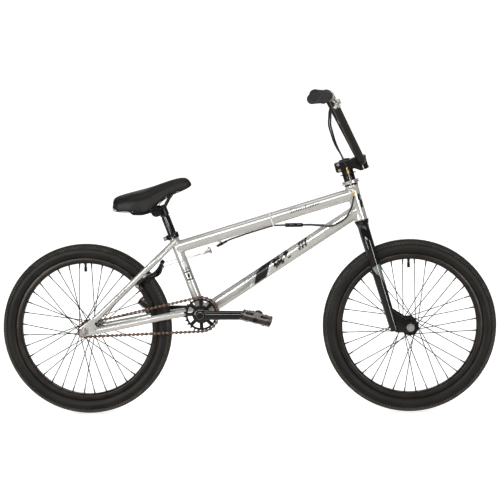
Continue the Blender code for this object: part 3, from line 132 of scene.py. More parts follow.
def ramp_of(nodes, links, source, low, high, first=0.35, last=0.65):
    ramp = nodes.new("ShaderNodeValToRGB")
    ramp.color_ramp.elements[0].position = first
    ramp.color_ramp.elements[0].color = (*low, 1.0)
    ramp.color_ramp.elements[1].position = last
    ramp.color_ramp.elements[1].color = (*high, 1.0)
    links.new(source, ramp.inputs["Fac"])
    return ramp.outputs["Color"]


def value_range(nodes, links, source, low, high):
    change = nodes.new("ShaderNodeMapRange")
    change.inputs["To Min"].default_value = low
    change.inputs["To Max"].default_value = high
    links.new(source, change.inputs["Value"])
    return change.outputs["Result"]


def mottled(nodes, links, colour, noise, levels, over, share):
    """The colour with another laid over it where a noise passes between two levels."""
    spots = noise_of(nodes, links, *noise)
    mask = ramp_of(nodes, links, spots.outputs["Fac"], (0, 0, 0), (1, 1, 1), *levels)
    mix = add_node(nodes, "ShaderNodeMix", data_type="RGBA")
    links.new(value_range(nodes, links, mask, 0.0, share), mix.inputs["Factor"])
    links.new(colour, mix.inputs["A"])
    mix.inputs["B"].default_value = (*over, 1.0)
    return mix.outputs["Result"]


def surface(name, colours, roughness, metallic=0.0, colour_scale=30.0, grain_scale=900.0,
            grain=0.05, coat=0.0, stretch=(1, 1, 1), cells=None, wear_and_highlight=None, flecks=0.0,
            gloss=0.5):
    """A worked surface: mottled colour, uneven gloss, fine grain, dents, scuffs or painted
    highlight spots.
    """
    material, nodes, links = new_material(name)
    shader = nodes["Principled BSDF"]
    shader.inputs["Metallic"].default_value = metallic
    shader.inputs["Coat Weight"].default_value = coat
    shader.inputs["Coat Roughness"].default_value = 0.08
    shader.inputs["Specular IOR Level"].default_value = gloss
    cloud = noise_of(nodes, links, colour_scale)
    colour = ramp_of(nodes, links, cloud.outputs["Fac"], *colours)
    if flecks:
        colour = mottled(nodes, links, colour, (4200.0, 2.0), (0.60, 0.72), (1.0, 0.99, 0.97),
                         flecks)
    # Lighter spots: real scuffs in most materials, painted highlight in the tread, shoulder and
    # pedal-face ones.
    if wear_and_highlight:
        colour = mottled(nodes, links, colour, (260.0, 8.0), (0.62, 0.70), *wear_and_highlight)
    links.new(colour, shader.inputs["Base Color"])
    smear = noise_of(nodes, links, colour_scale * 3.0, 6.0, stretch)
    links.new(value_range(nodes, links, smear.outputs["Fac"], *roughness),
              shader.inputs["Roughness"])
    fine = noise_of(nodes, links, grain_scale, 3.0, stretch)
    bump = add_node(nodes, "ShaderNodeBump", Strength=grain, Distance=0.0004)
    links.new(fine.outputs["Fac"], bump.inputs["Height"])
    if cells:
        place = nodes.new("ShaderNodeTexCoord")
        leather = add_node(nodes, "ShaderNodeTexVoronoi", Scale=cells[0],
                           feature="DISTANCE_TO_EDGE")
        links.new(place.outputs["Object"], leather.inputs["Vector"])
        over = add_node(nodes, "ShaderNodeBump", Strength=cells[1], Distance=0.0006)
        links.new(value_range(nodes, links, leather.outputs["Distance"], 0.0, 4.0),
                  over.inputs["Height"])
        links.new(bump.outputs["Normal"], over.inputs["Normal"])
        bump = over
    links.new(bump.outputs["Normal"], shader.inputs["Normal"])
    return material


PEARL = surface("pearl_silver_paint", ((0.70, 0.69, 0.66), (0.74, 0.73, 0.70)), (0.25, 0.275),
                0.45,
                colour_scale=7.0, grain_scale=2600.0, grain=0.010, coat=0.6, flecks=0.16)
WELD = surface("painted_weld_bead", ((0.60, 0.59, 0.56), (0.72, 0.71, 0.68)), (0.26, 0.40), 0.45,
               colour_scale=60.0, grain_scale=700.0, grain=0.20, coat=0.4)
BLACK_GLOSS = surface("black_gloss_paint", ((0.0035, 0.0033, 0.0032), (0.0075, 0.0070, 0.0066)),
                      (0.11, 0.17), 0.0, colour_scale=14.0, grain_scale=420.0, grain=0.006,
                      coat=0.55,
                      wear_and_highlight=((0.05, 0.05, 0.05), 0.20), gloss=0.36)
BLACK_SATIN = surface("black_anodised", ((0.006, 0.006, 0.006), (0.015, 0.014, 0.013)),
                      (0.22, 0.34),
                      0.30, colour_scale=40.0, grain_scale=2200.0, grain=0.10,
                      wear_and_highlight=((0.14, 0.13, 0.12), 0.18), gloss=0.40)
RIM_BLACK = surface("rim_black", ((0.022, 0.018, 0.016), (0.040, 0.033, 0.029)), (0.30, 0.40),
                    0.55,
                    colour_scale=26.0, grain_scale=2000.0, grain=0.08, gloss=0.45)
SPOKE_BLACK = surface("spoke_black", ((0.003, 0.003, 0.003), (0.008, 0.0075, 0.007)), (0.34, 0.46),
                      colour_scale=60.0, grain_scale=2200.0, grain=0.05, gloss=0.22)
STEEL = surface("brushed_steel", ((0.50, 0.49, 0.47), (0.70, 0.68, 0.66)), (0.22, 0.38), 0.85,
                colour_scale=55.0, grain_scale=1400.0, grain=0.14, stretch=(1, 6, 1))
ZINC = surface("zinc_plate", ((0.60, 0.59, 0.56), (0.78, 0.77, 0.74)), (0.26, 0.42), 0.70,
               colour_scale=120.0, grain_scale=900.0, grain=0.12)
BRASS = surface("brass", ((0.62, 0.40, 0.14), (0.83, 0.62, 0.28)), (0.20, 0.36), 0.9,
                colour_scale=90.0, grain_scale=1200.0, grain=0.10)
CHAIN_BROWN = surface("brown_chain_steel", ((0.075, 0.042, 0.030), (0.20, 0.125, 0.090)),
                      (0.24, 0.40),
                      0.80, colour_scale=160.0, grain_scale=1600.0, grain=0.12,
                      wear_and_highlight=((0.50, 0.40, 0.33), 0.35))
PIN_STEEL = surface("chain_pin_steel", ((0.24, 0.17, 0.13), (0.46, 0.36, 0.29)), (0.22, 0.36),
                    0.85,
                    colour_scale=160.0, grain_scale=1600.0, grain=0.10)
TYRE = surface("tyre_rubber", ((0.0065, 0.0062, 0.0048), (0.014, 0.0132, 0.0100)), (0.42, 0.58),
               colour_scale=18.0, grain_scale=1100.0, grain=0.25, gloss=0.26)
# Tread rubber, browner and lighter than the carcass: the rubber's tone with a painted highlight on
# the block tops.
TREAD_WITH_HIGHLIGHT = surface("tread_rubber_painted_highlight", ((0.022, 0.0200, 0.0155), (0.050, 0.0450, 0.0360)), (0.42, 0.58),
                colour_scale=110.0, grain_scale=1500.0, grain=0.30,
                wear_and_highlight=((0.10, 0.088, 0.07), 0.35),
                gloss=0.40)
# Shoulder rubber, lighter still: a painted highlight along the tyre's shoulder rows.
SHOULDER_HIGHLIGHT = surface("shoulder_rubber_painted_highlight", ((0.040, 0.034, 0.027), (0.088, 0.074, 0.058)),
                     (0.40, 0.56),
                     colour_scale=45.0, grain_scale=1500.0, grain=0.30,
                     wear_and_highlight=((0.20, 0.165, 0.13), 0.40),
                     gloss=0.50)
GRIP = surface("grip_rubber", ((0.024, 0.020, 0.018), (0.050, 0.042, 0.038)), (0.50, 0.70),
               colour_scale=70.0, grain_scale=1900.0, grain=0.30, gloss=0.35)
GRIP_END_BLACK = surface("grip_end_rubber", ((0.007, 0.007, 0.007), (0.013, 0.012, 0.012)),
                         (0.5, 0.7),
                         colour_scale=70.0, grain_scale=1900.0, grain=0.25, gloss=0.30)
VINYL = surface("saddle_vinyl", ((0.0062, 0.0054, 0.0042), (0.0140, 0.0124, 0.0098)), (0.36, 0.50),
                colour_scale=22.0, grain_scale=2400.0, grain=0.10, cells=(620.0, 0.22), gloss=0.32)
VINYL_SIDE = surface("saddle_side_vinyl", ((0.008, 0.0072, 0.0056), (0.015, 0.0135, 0.0108)),
                     (0.48, 0.62), colour_scale=22.0, grain_scale=2400.0, grain=0.14,
                     cells=(900.0, 0.30), gloss=0.35)
HOUSING = surface("cable_housing", ((0.006, 0.006, 0.006), (0.014, 0.013, 0.013)), (0.24, 0.38),
                  colour_scale=80.0, grain_scale=1500.0, grain=0.08, gloss=0.45)
PEDAL = surface("pedal_plastic", ((0.017, 0.014, 0.0120), (0.036, 0.030, 0.0260)), (0.36, 0.56),
                colour_scale=60.0, grain_scale=1000.0, grain=0.30,
                wear_and_highlight=((0.10, 0.085, 0.075), 0.30),
                gloss=0.40)
# A lighter copy of the pedal plastic for the faces and barrel, its spots included: painted
# highlight.
PEDAL_FACE_HIGHLIGHT = surface("pedal_face_painted_highlight", ((0.21, 0.184, 0.168), (0.37, 0.330, 0.306)),
                     (0.26, 0.42),
                     colour_scale=70.0, grain_scale=1000.0, grain=0.25,
                     wear_and_highlight=((0.50, 0.45, 0.42), 0.30))
PAD = surface("brake_pad_rubber", ((0.075, 0.036, 0.030), (0.130, 0.066, 0.054)), (0.55, 0.75),
              colour_scale=90.0, grain_scale=1400.0, grain=0.25, gloss=0.40)
INK = surface("decal_ink", ((0.006, 0.006, 0.006), (0.014, 0.013, 0.013)), (0.22, 0.34),
              colour_scale=50.0, grain_scale=1500.0, grain=0.04, coat=0.25, gloss=0.4)
GREY_INK = surface("decal_grey", ((0.22, 0.23, 0.22), (0.34, 0.35, 0.34)), (0.24, 0.38), 0.3,
                   colour_scale=200.0, grain_scale=1500.0, grain=0.05, coat=0.3)
GREEN_GREY = surface("decal_grey_green", ((0.20, 0.24, 0.21), (0.27, 0.31, 0.28)), (0.26, 0.40),
                     0.2,
                     colour_scale=120.0, grain_scale=1500.0, grain=0.05, coat=0.3)
PALE_INK = surface("decal_pale", ((0.76, 0.76, 0.74), (0.88, 0.88, 0.86)), (0.24, 0.36),
                   colour_scale=90.0, grain_scale=1500.0, grain=0.04, coat=0.4)


# ------------------------------------------------------------------ shapes, as meshes
def sides_of(direction, guide):
    """Two directions square to a direction, the first close to the guide."""
    z_axis = direction.normalized()
    guide = Vector(guide)
    if abs(guide.normalized().dot(z_axis)) > 0.99:
        guide = Vector((0.3, 0.2, 1.0))
    x_axis = (guide - z_axis * guide.dot(z_axis)).normalized()
    return x_axis, z_axis.cross(x_axis)


def frame_at(origin, direction, guide=(0, 1, 0)):
    """A matrix with local Z along direction and local X close to the guide."""
    x_axis, y_axis = sides_of(Vector(direction), guide)
    turn = Matrix((x_axis, y_axis, Vector(direction).normalized())).transposed().to_4x4()
    return Matrix.Translation(origin) @ turn


def bridge(first, second, flip=False):
    """Quads between two rings of vertex numbers."""
    count = len(first)
    faces = []
    for i in range(count):
        j = (i + 1) % count
        face = (first[i], first[j], second[j], second[i])
        faces.append(face[::-1] if flip else face)
    return faces


def sweep(points, radii, sides=20, flat=(1.0, 1.0), guide=(0, 1, 0), loop=False):
    """A bar along points; flat scales its section across and along the guide."""
    points = [Vector(point) for point in points]
    count = len(points)
    if not isinstance(radii, (list, tuple)):
        radii = [radii] * count
    verts, rings = [], []
    x_axis = None
    for i, point in enumerate(points):
        before = points[(i - 1) % count] if (loop or i) else point
        after = points[(i + 1) % count] if (loop or i < count - 1) else point
        tangent = (after - before).normalized()
        if x_axis is None:
            x_axis, y_axis = sides_of(tangent, guide)
        else:
            x_axis = (x_axis - tangent * x_axis.dot(tangent)).normalized()
            y_axis = tangent.cross(x_axis)
        ring = []
        for k in range(sides):
            angle = 2 * math.pi * k / sides
            ring.append(len(verts))
            verts.append(point + (x_axis * math.cos(angle) * flat[0]
                                  + y_axis * math.sin(angle) * flat[1]) * radii[i])
        rings.append(ring)
    faces = []
    for first, second in zip(rings, rings[1:]):
        faces += bridge(first, second)
    if loop:
        faces += bridge(rings[-1], rings[0])
    else:
        faces += [tuple(rings[0][::-1]), tuple(rings[-1])]
    return verts, faces


def lathe(profile, origin, axis, steps=48, loop=True):
    """Profile points as (radius, height), outer side from the top down, turned full circle."""
    matrix = frame_at(Vector(origin), Vector(axis))
    verts, rings = [], []
    for radius, height in profile:
        if radius < 1e-6:
            rings.append([len(verts)])
            verts.append(matrix @ Vector((0.0, 0.0, height)))
            continue
        ring = []
        for k in range(steps):
            angle = 2 * math.pi * k / steps
            ring.append(len(verts))
            verts.append(matrix @ Vector((radius * math.cos(angle), radius * math.sin(angle),
                                          height)))
        rings.append(ring)
    faces = []
    pairs = list(zip(rings, rings[1:]))
    if loop:
        pairs.append((rings[-1], rings[0]))
    for first, second in pairs:
        if len(first) == 1 and len(second) > 1:
            faces += [(first[0], second[k], second[(k + 1) % steps]) for k in range(steps)]
        elif len(second) == 1 and len(first) > 1:
            faces += [(first[(k + 1) % steps], first[k], second[0]) for k in range(steps)]
        elif len(first) > 1:
            faces += bridge(second, first)
    return verts, faces


def rod(start, end, radius, sides=20, chamfer=0.0):
    """A straight round piece between two points, its rims eased."""
    start, end = Vector(start), Vector(end)
    length = (end - start).length
    ease = min(chamfer, radius * 0.5, length * 0.4)
    if ease:
        profile = [(0.0, length), (radius - ease, length), (radius, length - ease), (radius, ease),
                   (radius - ease, 0.0), (0.0, 0.0)]
    else:
        profile = [(0.0, length), (radius, length), (radius, 0.0), (0.0, 0.0)]
    return lathe(profile, start, end - start, sides, loop=False)


def block(centre, size, direction=(0, 0, 1), guide=(0, 1, 0), taper=1.0):
    """A box; size runs along guide, the third axis and direction, where it may narrow."""
    matrix = frame_at(Vector(centre), direction, guide)
    shrink = {-1: 1.0, 1: taper}
    verts = [matrix @ Vector((size[0] * x * shrink[z] / 2, size[1] * y * shrink[z] / 2,
                              size[2] * z / 2))
             for x in (-1, 1) for y in (-1, 1) for z in (-1, 1)]
    faces = [(0, 1, 3, 2), (4, 6, 7, 5), (0, 4, 5, 1), (2, 3, 7, 6), (0, 2, 6, 4), (1, 5, 7, 3)]
    return verts, faces


def arc(radius, start, end, steps, centre=(0.0, 0.0)):
    """Points on a circle between two angles in degrees."""
    return [(centre[0] + radius * math.cos(math.radians(start + (end - start) * i / steps)),
             centre[1] + radius * math.sin(math.radians(start + (end - start) * i / steps)))
            for i in range(steps + 1)]


def side_view(origin):
    """A matrix with local X forward, local Y up and local Z toward the drive side."""
    return Matrix.Translation(origin) @ Matrix(((1, 0, 0), (0, 0, -1), (0, 1, 0))).to_4x4()


def plate(outlines, thickness, matrix, ease=0.0):
    """A flat plate from outlines in local XY, later ones cut out, with eased edges."""
    curve = bpy.data.curves.new("plate", "CURVE")
    curve.dimensions = "2D"
    curve.fill_mode = "BOTH"
    curve.extrude = thickness / 2 - ease
    curve.bevel_depth = ease
    curve.bevel_resolution = 1
    curve.offset = -ease
    for outline in outlines:
        spline = curve.splines.new("POLY")
        spline.points.add(len(outline) - 1)
        for spot, (x, y) in zip(spline.points, outline):
            spot.co = (x, y, 0.0, 1.0)
        spline.use_cyclic_u = True
    guide = bpy.data.objects.new("plate", curve)
    bpy.context.scene.collection.objects.link(guide)
    mesh = guide.to_mesh()
    verts = [matrix @ vert.co for vert in mesh.vertices]
    faces = [tuple(face.vertices) for face in mesh.polygons]
    guide.to_mesh_clear()
    bpy.data.objects.remove(guide, do_unlink=True)
    bpy.data.curves.remove(curve)
    return verts, faces


def curved(corners, radii, steps=8):
    """A path through corner points, with each inner corner turned as an arc."""
    corners = [Vector(corner) for corner in corners]
    if not isinstance(radii, list):
        radii = [radii] * (len(corners) - 2)
    path = [corners[0]]
    for before, corner, after, radius in zip(corners, corners[1:], corners[2:], radii):
        back = (before - corner).normalized()
        ahead = (after - corner).normalized()
        half = back.angle(ahead) / 2
        reach = min(radius / math.tan(half), 0.45 * (before - corner).length,
                    0.45 * (after - corner).length)
        middle = corner + (back + ahead).normalized() * reach / math.cos(half)
        first = corner + back * reach - middle
        last = corner + ahead * reach - middle
        sweep_angle = first.angle(last)
        for step in range(steps + 1):
            angle = sweep_angle * step / steps
            arm = first * math.sin(sweep_angle - angle) + last * math.sin(angle)
            path.append(middle + arm / math.sin(sweep_angle))
    path.append(corners[-1])
    return path


def evenly(points, radii_ends):
    """Radii that change evenly along a path."""
    lengths = [0.0]
    for before, after in zip(points, points[1:]):
        lengths.append(lengths[-1] + (after - before).length)
    first, last = radii_ends
    return [first + (last - first) * length / lengths[-1] for length in lengths]


def onto_cylinder(point, direction, cylinder):
    """Where a line first meets a cylinder given as (origin, axis, radius)."""
    origin, axis, radius = cylinder
    axis = axis.normalized()
    away = point - origin
    away -= axis * away.dot(axis)
    along = direction - axis * direction.dot(axis)
    a = along.dot(along)
    b = away.dot(along)
    c = away.dot(away) - radius * radius
    inside = max(b * b - a * c, 0.0)
    return point + direction * ((-b - math.sqrt(inside)) / a)


def pipe(points, radii, sides=40, start_on=None, end_on=None):
    """A bar whose ends are fitted to neighbouring tubes; also gives its end loops."""
    points = [Vector(point) for point in points]
    verts, faces = sweep(points, radii, sides)
    count = len(points)
    first = verts[:sides]
    last = verts[(count - 1) * sides:]
    if start_on:
        way = (points[0] - points[1]).normalized()
        first = [onto_cylinder(vert - way * 0.03, way, start_on) for vert in first]
        verts[:sides] = first
    if end_on:
        way = (points[-1] - points[-2]).normalized()
        last = [onto_cylinder(vert - way * 0.03, way, end_on) for vert in last]
        verts[(count - 1) * sides:] = last
    return (verts, faces), first, last


# ------------------------------------------------------------------ pieces and riding
def piece(name, body, material, shapes, replaces=(), steered=False, bevel=0.0, smooth=40.0):
    """Shapes joined as one object that rides on a CAD body."""
    mesh = bpy.data.meshes.new(name)
    verts, faces = [], []
    for shape_verts, shape_faces in shapes:
        base = len(verts)
        verts += [tuple(STEER @ Vector(vert)) if steered else tuple(vert) for vert in shape_verts]
        faces += [tuple(base + i for i in face) for face in shape_faces]
    mesh.from_pydata(verts, [], faces)
    bm = bmesh.new()
    bm.from_mesh(mesh)
    bmesh.ops.remove_doubles(bm, verts=bm.verts, dist=0.000002)
    bmesh.ops.recalc_face_normals(bm, faces=bm.faces)
    bm.to_mesh(mesh)
    bm.free()
    obj = bpy.data.objects.new(name, mesh)
    bpy.context.scene.collection.objects.link(obj)
    mesh.materials.append(material)
    mesh.shade_smooth()
    mesh.set_sharp_from_angle(angle=math.radians(smooth))
    if bevel:
        modifier = obj.modifiers.new("eased_edges", "BEVEL")
        modifier.width = bevel
        modifier.segments = 2
        modifier.limit_method = "ANGLE"
        modifier.angle_limit = math.radians(40)
    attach(obj, body)
    if replaces:
        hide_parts(*replaces)
    return obj


def weld(loop, radius=0.0021):
    """A rippled bead along a closed loop of points."""
    fine = []
    for here, after in zip(loop, loop[1:] + loop[:1]):
        fine += [here, here.lerp(after, 0.5)]
    radii = [radius * (1.0 + 0.13 * (-1) ** i) for i in range(len(fine))]
    return sweep(fine, radii, 10, loop=True)


def hex_head(at, direction, radius, height):
    """A socket-head bolt: a rounded cap with a sunk round socket."""
    direction = Vector(direction).normalized()
    socket = radius * 0.5
    cap = lathe([(0.0, height * 0.45), (socket, height * 0.45), (socket, height),
                 (radius * 0.86, height), (radius, height * 0.82), (radius, 0.0), (0.0, 0.0)],
                at, direction, 20, loop=False)
    return cap


def hex_nut(at, direction, radius, height):
    """A six-sided nut with a chamfered crown."""
    low, high = lathe([(0.0, height), (radius * 0.90, height), (radius, height * 0.86),
                       (radius, 0.0), (0.0, 0.0)], at, direction, 6, loop=False)
    return low, high


# --------------------------------------------------------------------- frame tubes
TT_AXIS = (TOP_TUBE[1] - TOP_TUBE[0]).normalized()
DT_AXIS = (DOWN_TUBE[1] - DOWN_TUBE[0]).normalized()
TT_RADIUS = 0.0180
DT_RADIUS = 0.0190
ST_RADIUS = 0.0143
HT_RADIUS = 0.0185
SHELL_RADIUS = 0.0250
ON_SEAT = (BB, SEAT_DIR, ST_RADIUS)
ON_HEAD = (HEAD_MIDDLE, HEAD_DIR, HT_RADIUS)
ON_SHELL = (BB, Y, SHELL_RADIUS)


def build_frame():
    half = 0.0527
    tabs = []
    for side in (-1, 1):
        outline = [(0.009 * x, y) for x, y in ((-1, 0.0165), (1, 0.0165), (1, 0.0265),
                                               (0.62, 0.0308),
                                               (-0.62, 0.0308), (-1, 0.0265))]
        flat = Matrix((HEAD_FORWARD, Y * side, HEAD_FORWARD.cross(Y * side))).transposed().to_4x4()
        tabs.append(plate([outline], 0.0040,
                          Matrix.Translation(head(0, 0.0400)) @ flat, 0.0006))
    tube = lathe([(0.0170, half), (0.0186, half), (0.0190, half - 0.0012), (0.0190, half - 0.0055),
                  (HT_RADIUS, half - 0.0068), (HT_RADIUS, -half + 0.0068),
                  (0.0190, -half + 0.0055),
                  (0.0190, -half + 0.0012), (0.0186, -half), (0.0170, -half)],
                 HEAD_MIDDLE, HEAD_DIR, 64)
    piece("head_tube_shell", "frame", PEARL, [tube] + tabs, ["head_tube"], smooth=35)

    top, rear_loop, front_loop = pipe([TOP_TUBE[0], TOP_TUBE[1]], TT_RADIUS, 56, ON_SEAT, ON_HEAD)
    piece("top_tube_paint", "frame", PEARL, [top], ["top_tube"])
    down, _, down_front = pipe([DOWN_TUBE[0] + DT_AXIS * 0.02, DOWN_TUBE[1]], DT_RADIUS, 56, None,
                               ON_HEAD)
    piece("down_tube_paint", "frame", PEARL, [down], ["down_tube"])
    down_rear = [onto_cylinder(BB + DT_AXIS * 0.10 + offset, -DT_AXIS, ON_SHELL)
                 for offset in circle_around(DT_AXIS, DT_RADIUS, 56)]
    seat_low = [onto_cylinder(BB + SEAT_DIR * 0.10 + offset, -SEAT_DIR, ON_SHELL)
                for offset in circle_around(SEAT_DIR, ST_RADIUS, 48)]
    tube = lathe([(0.0130, 0.240), (0.0139, 0.240), (ST_RADIUS, 0.2394), (ST_RADIUS, 0.0),
                  (0.0130, 0.0)],
                 seat(0.010), SEAT_DIR, 56)
    piece("seat_tube_paint", "frame", PEARL, [tube], ["seat_tube"])
    shell = lathe([(0.0206, 0.034), (0.0242, 0.034), (0.0250, 0.0332), (0.0250, -0.0332),
                   (0.0242, -0.034), (0.0206, -0.034)], BB, Y, 64)
    piece("bottom_bracket_paint", "frame", PEARL, [shell], ["bottom_bracket_shell"])
    welds = [weld(rear_loop), weld(front_loop), weld(down_front), weld(down_rear), weld(seat_low)]

    for side in (-1, 1):
        low_path = curved([rear(0.0390, 0.0010, side * 0.0580),
                           rear(0.1385, 0.0195, side * 0.0530),
                           rear(0.2226, 0.0360, side * 0.0400),
                           rear(0.2850, 0.0450, side * 0.0290),
                           rear(0.3350, 0.0500, side * 0.0262)], 0.12, 8)
        low, low_rear, low_front = pipe(low_path, evenly(low_path, (0.0093, 0.0100)), 40, None,
                                        ON_SHELL)
        dropout = plate([dropout_outline()], 0.0060,
                        side_view(REAR_AXLE + Y * side * 0.0580), 0.0007)
        piece(name_on("chainstay_paint", side), "frame", PEARL, [low, dropout],
              [name_on("chainstay", side)], smooth=35)
        high_path = curved([rear(0.0336, 0.0348, side * 0.0580),
                            rear(0.1476, 0.1414, side * 0.0440),
                            rear(0.2076, 0.1981, side * 0.0380),
                            rear(0.2430, 0.2315, side * 0.0210),
                            rear(0.2720, 0.2590, side * 0.0100)], 0.10, 8)
        high, high_rear, high_front = pipe(high_path, evenly(high_path, (0.0085, 0.0080)), 36,
                                           None,
                                           ON_SEAT)
        boss = lathe([(0.0, 0.0163), (0.0066, 0.0163), (0.0076, 0.0153), (0.0080, 0.0),
                      (0.0, 0.0)],
                     brake(0, 0, side * BRAKE_POST_ACROSS), STAY_OUT, 28, loop=False)
        piece(name_on("seatstay_paint", side), "frame", PEARL, [high, boss],
              [name_on("seatstay", side)], smooth=35)
        post = lathe([(0.0, 0.0345), (0.0062, 0.0345), (0.0070, 0.0339), (0.0070, 0.0309),
                      (0.0064, 0.0305), (0.0040, 0.0303), (0.0040, 0.0160), (0.0, 0.0160)],
                     brake(0, 0, side * BRAKE_POST_ACROSS), STAY_OUT, 28, loop=False)
        post_bolt = hex_head(brake(0, 0.0343, side * BRAKE_POST_ACROSS), STAY_OUT, 0.0058, 0.0022)
        piece(name_on("brake_post_bolt", side), "frame", BLACK_SATIN, [post, post_bolt])
        welds += [weld(low_rear, 0.0019), weld(high_rear, 0.0019), weld(high_front, 0.0016),
                  weld(low_front, 0.0019)]
    piece("frame_welds", "frame", WELD, welds, smooth=70)
    build_cable_stop()


def circle_around(axis, radius, steps):
    """Offsets on a circle square to an axis."""
    x_axis, y_axis = sides_of(axis, (0, 1, 0))
    return [(x_axis * math.cos(2 * math.pi * k / steps)
             + y_axis * math.sin(2 * math.pi * k / steps)) * radius for k in range(steps)]


def build_cable_stop():
    """The cable stop under the top tube: its web and a knurled adjuster."""
    front = CABLE_STOP - WIRE_DIR * 0.0003
    knurl = [(0.0014, 0.0), (0.0040, 0.0), (0.0046, -0.0006)]
    for ring in range(6):
        knurl += [(0.0046, -0.0012 - ring * 0.0010), (0.0042, -0.0017 - ring * 0.0010)]
    knurl += [(0.0046, -0.0080), (0.0038, -0.0086), (0.0038, -0.0194), (0.0034, -0.0200),
              (0.0014, -0.0200)]
    barrel = lathe(knurl, front, WIRE_DIR, 28)
    web_middle = front - WIRE_DIR * 0.0070 + Vector((-0.0025, 0, 0.0095))
    web = block(web_middle, (0.0044, 0.0100, 0.0105), Vector((-TT_AXIS.z, 0.0, TT_AXIS.x)))
    piece("cable_stop_adjuster", "frame", BLACK_SATIN, [barrel], ["cable_stop"], smooth=30)
    piece("cable_stop_web", "frame", PEARL, [web], bevel=0.0010)


def dropout_outline():
    """The rear dropout around the axle, its slot open to the rear."""
    slot = 0.0073
    along = Vector((math.cos(STAY_ANGLE), math.sin(STAY_ANGLE)))
    across = Vector((-along.y, along.x))
    stay = Vector((0.0335, 0.0347))
    low = Vector((math.cos(math.radians(10.4)), math.sin(math.radians(10.4))))
    low_across = Vector((-low.y, low.x))
    chain = Vector((0.0440, 0.0020))
    outline = arc(slot, -90, 90, 14) + arc(0.0153, 151, 133, 3)
    outline += [tuple(stay + across * 0.0082), tuple(stay - across * 0.0082)]
    outline += arc(0.0065, 115, 235, 9, centre=(0.0395, 0.0215))
    outline += [tuple(chain + low_across * 0.0090), tuple(chain - low_across * 0.0090)]
    outline += arc(0.0153, -80, -151, 10)
    return outline


def decal(name, material, start, axis, radius, patches, body="frame", steered=False,
          sides=(-1, 1)):
    """Thin painted shapes on a tube, each with four (along, degrees) corners."""
    up = axis.cross(Y).normalized()
    if up.z < 0:
        up = -up
    shapes = []
    for side in sides:
        beside = Y * side - axis * (axis.y * side)
        beside.normalize()
        for corners in patches:
            verts, faces = [], []
            count = 12
            for lift in (0.00016, -0.0006):
                for i in range(count + 1):
                    for j in range(count + 1):
                        u, v = i / count, j / count
                        along = ((corners[0][0] * (1 - u) + corners[1][0] * u) * (1 - v)
                                 + (corners[3][0] * (1 - u) + corners[2][0] * u) * v)
                        turn = math.radians((corners[0][1] * (1 - u) + corners[1][1] * u) * (1 - v)
                                            + (corners[3][1] * (1 - u) + corners[2][1] * u) * v)
                        out = beside * math.cos(turn) + up * math.sin(turn)
                        verts.append(start + axis * along + out * (radius + lift))
            row = count + 1
            layer = row * row
            for i in range(count):
                for j in range(count):
                    k = i * row + j
                    faces.append((k, k + 1, k + row + 1, k + row))
                    faces.append((layer + k, layer + k + row, layer + k + row + 1, layer + k + 1))
                near, far = i * row, i * row + count
                faces.append((near, near + row, layer + near + row, layer + near))
                faces.append((far + row, far, layer + far, layer + far + row))
                faces.append((i + 1, i, layer + i, layer + i + 1))
                faces.append((count * row + i, count * row + i + 1, layer + count * row + i + 1,
                              layer + count * row + i))
            shapes.append((verts, faces))
    return piece(name, body, material, shapes, (), steered, smooth=50)


# ------------------------------------------------------------------------- wheels
def tyre(prefix, body, axle, steered):
    """A carcass with ribbed side walls, and rows of square blocks over its outer third."""
    carcass = 0.0237
    profile = [(0.2036, 0.0116), (0.2120, 0.0124), (0.2130, 0.0160)]
    for step in range(125, -126, -5):
        angle = math.radians(step)
        rib = 0.0006 if abs(step) in (70, 90, 110) else 0.0
        profile.append((TYRE_CENTRE + (carcass + rib) * math.cos(angle),
                        (carcass + rib) * math.sin(angle)))
    profile += [(0.2130, -0.0160), (0.2120, -0.0124), (0.2036, -0.0116), (0.2036, -0.0096),
                (0.2150, -0.0106), (0.2200, -0.0190), (0.2430, -0.0140), (0.2430, 0.0140),
                (0.2200, 0.0190), (0.2150, 0.0106), (0.2036, 0.0096)]
    shape = lathe(profile, axle, Y, 144)
    piece(prefix + "_tyre_carcass", body, TYRE, [shape], [prefix + "_tyre"], steered, smooth=55)
    blocks = {"tread": [], "shoulder": []}
    repeats = 186
    for row in range(-4, 5):
        lean = math.radians(row * 13.0)
        wide = 0.0046 if abs(row) < 4 else 0.0056
        for index in range(repeats):
            angle = 2 * math.pi * (index + 0.5 * (row % 2)) / repeats
            out = Vector((math.cos(angle), 0.0, math.sin(angle)))
            around = Vector((-math.sin(angle), 0.0, math.cos(angle)))
            normal = out * math.cos(lean) + Y * math.sin(lean)
            centre = axle + out * TYRE_CENTRE + normal * (carcass + 0.0005)
            # Tread and shoulder blocks take lighter rubbers than the carcass: painted highlight,
            # strongest on the outer two rows each side.
            part = "tread" if abs(row) < 3 else "shoulder"
            blocks[part].append(block(centre, (0.0056, wide, 0.0024), normal, around, 0.84))
    piece(prefix + "_tyre_tread", body, TREAD_WITH_HIGHLIGHT, blocks["tread"], (), steered, smooth=20)
    piece(prefix + "_tyre_shoulder", body, SHOULDER_HIGHLIGHT, blocks["shoulder"], (), steered, smooth=20)


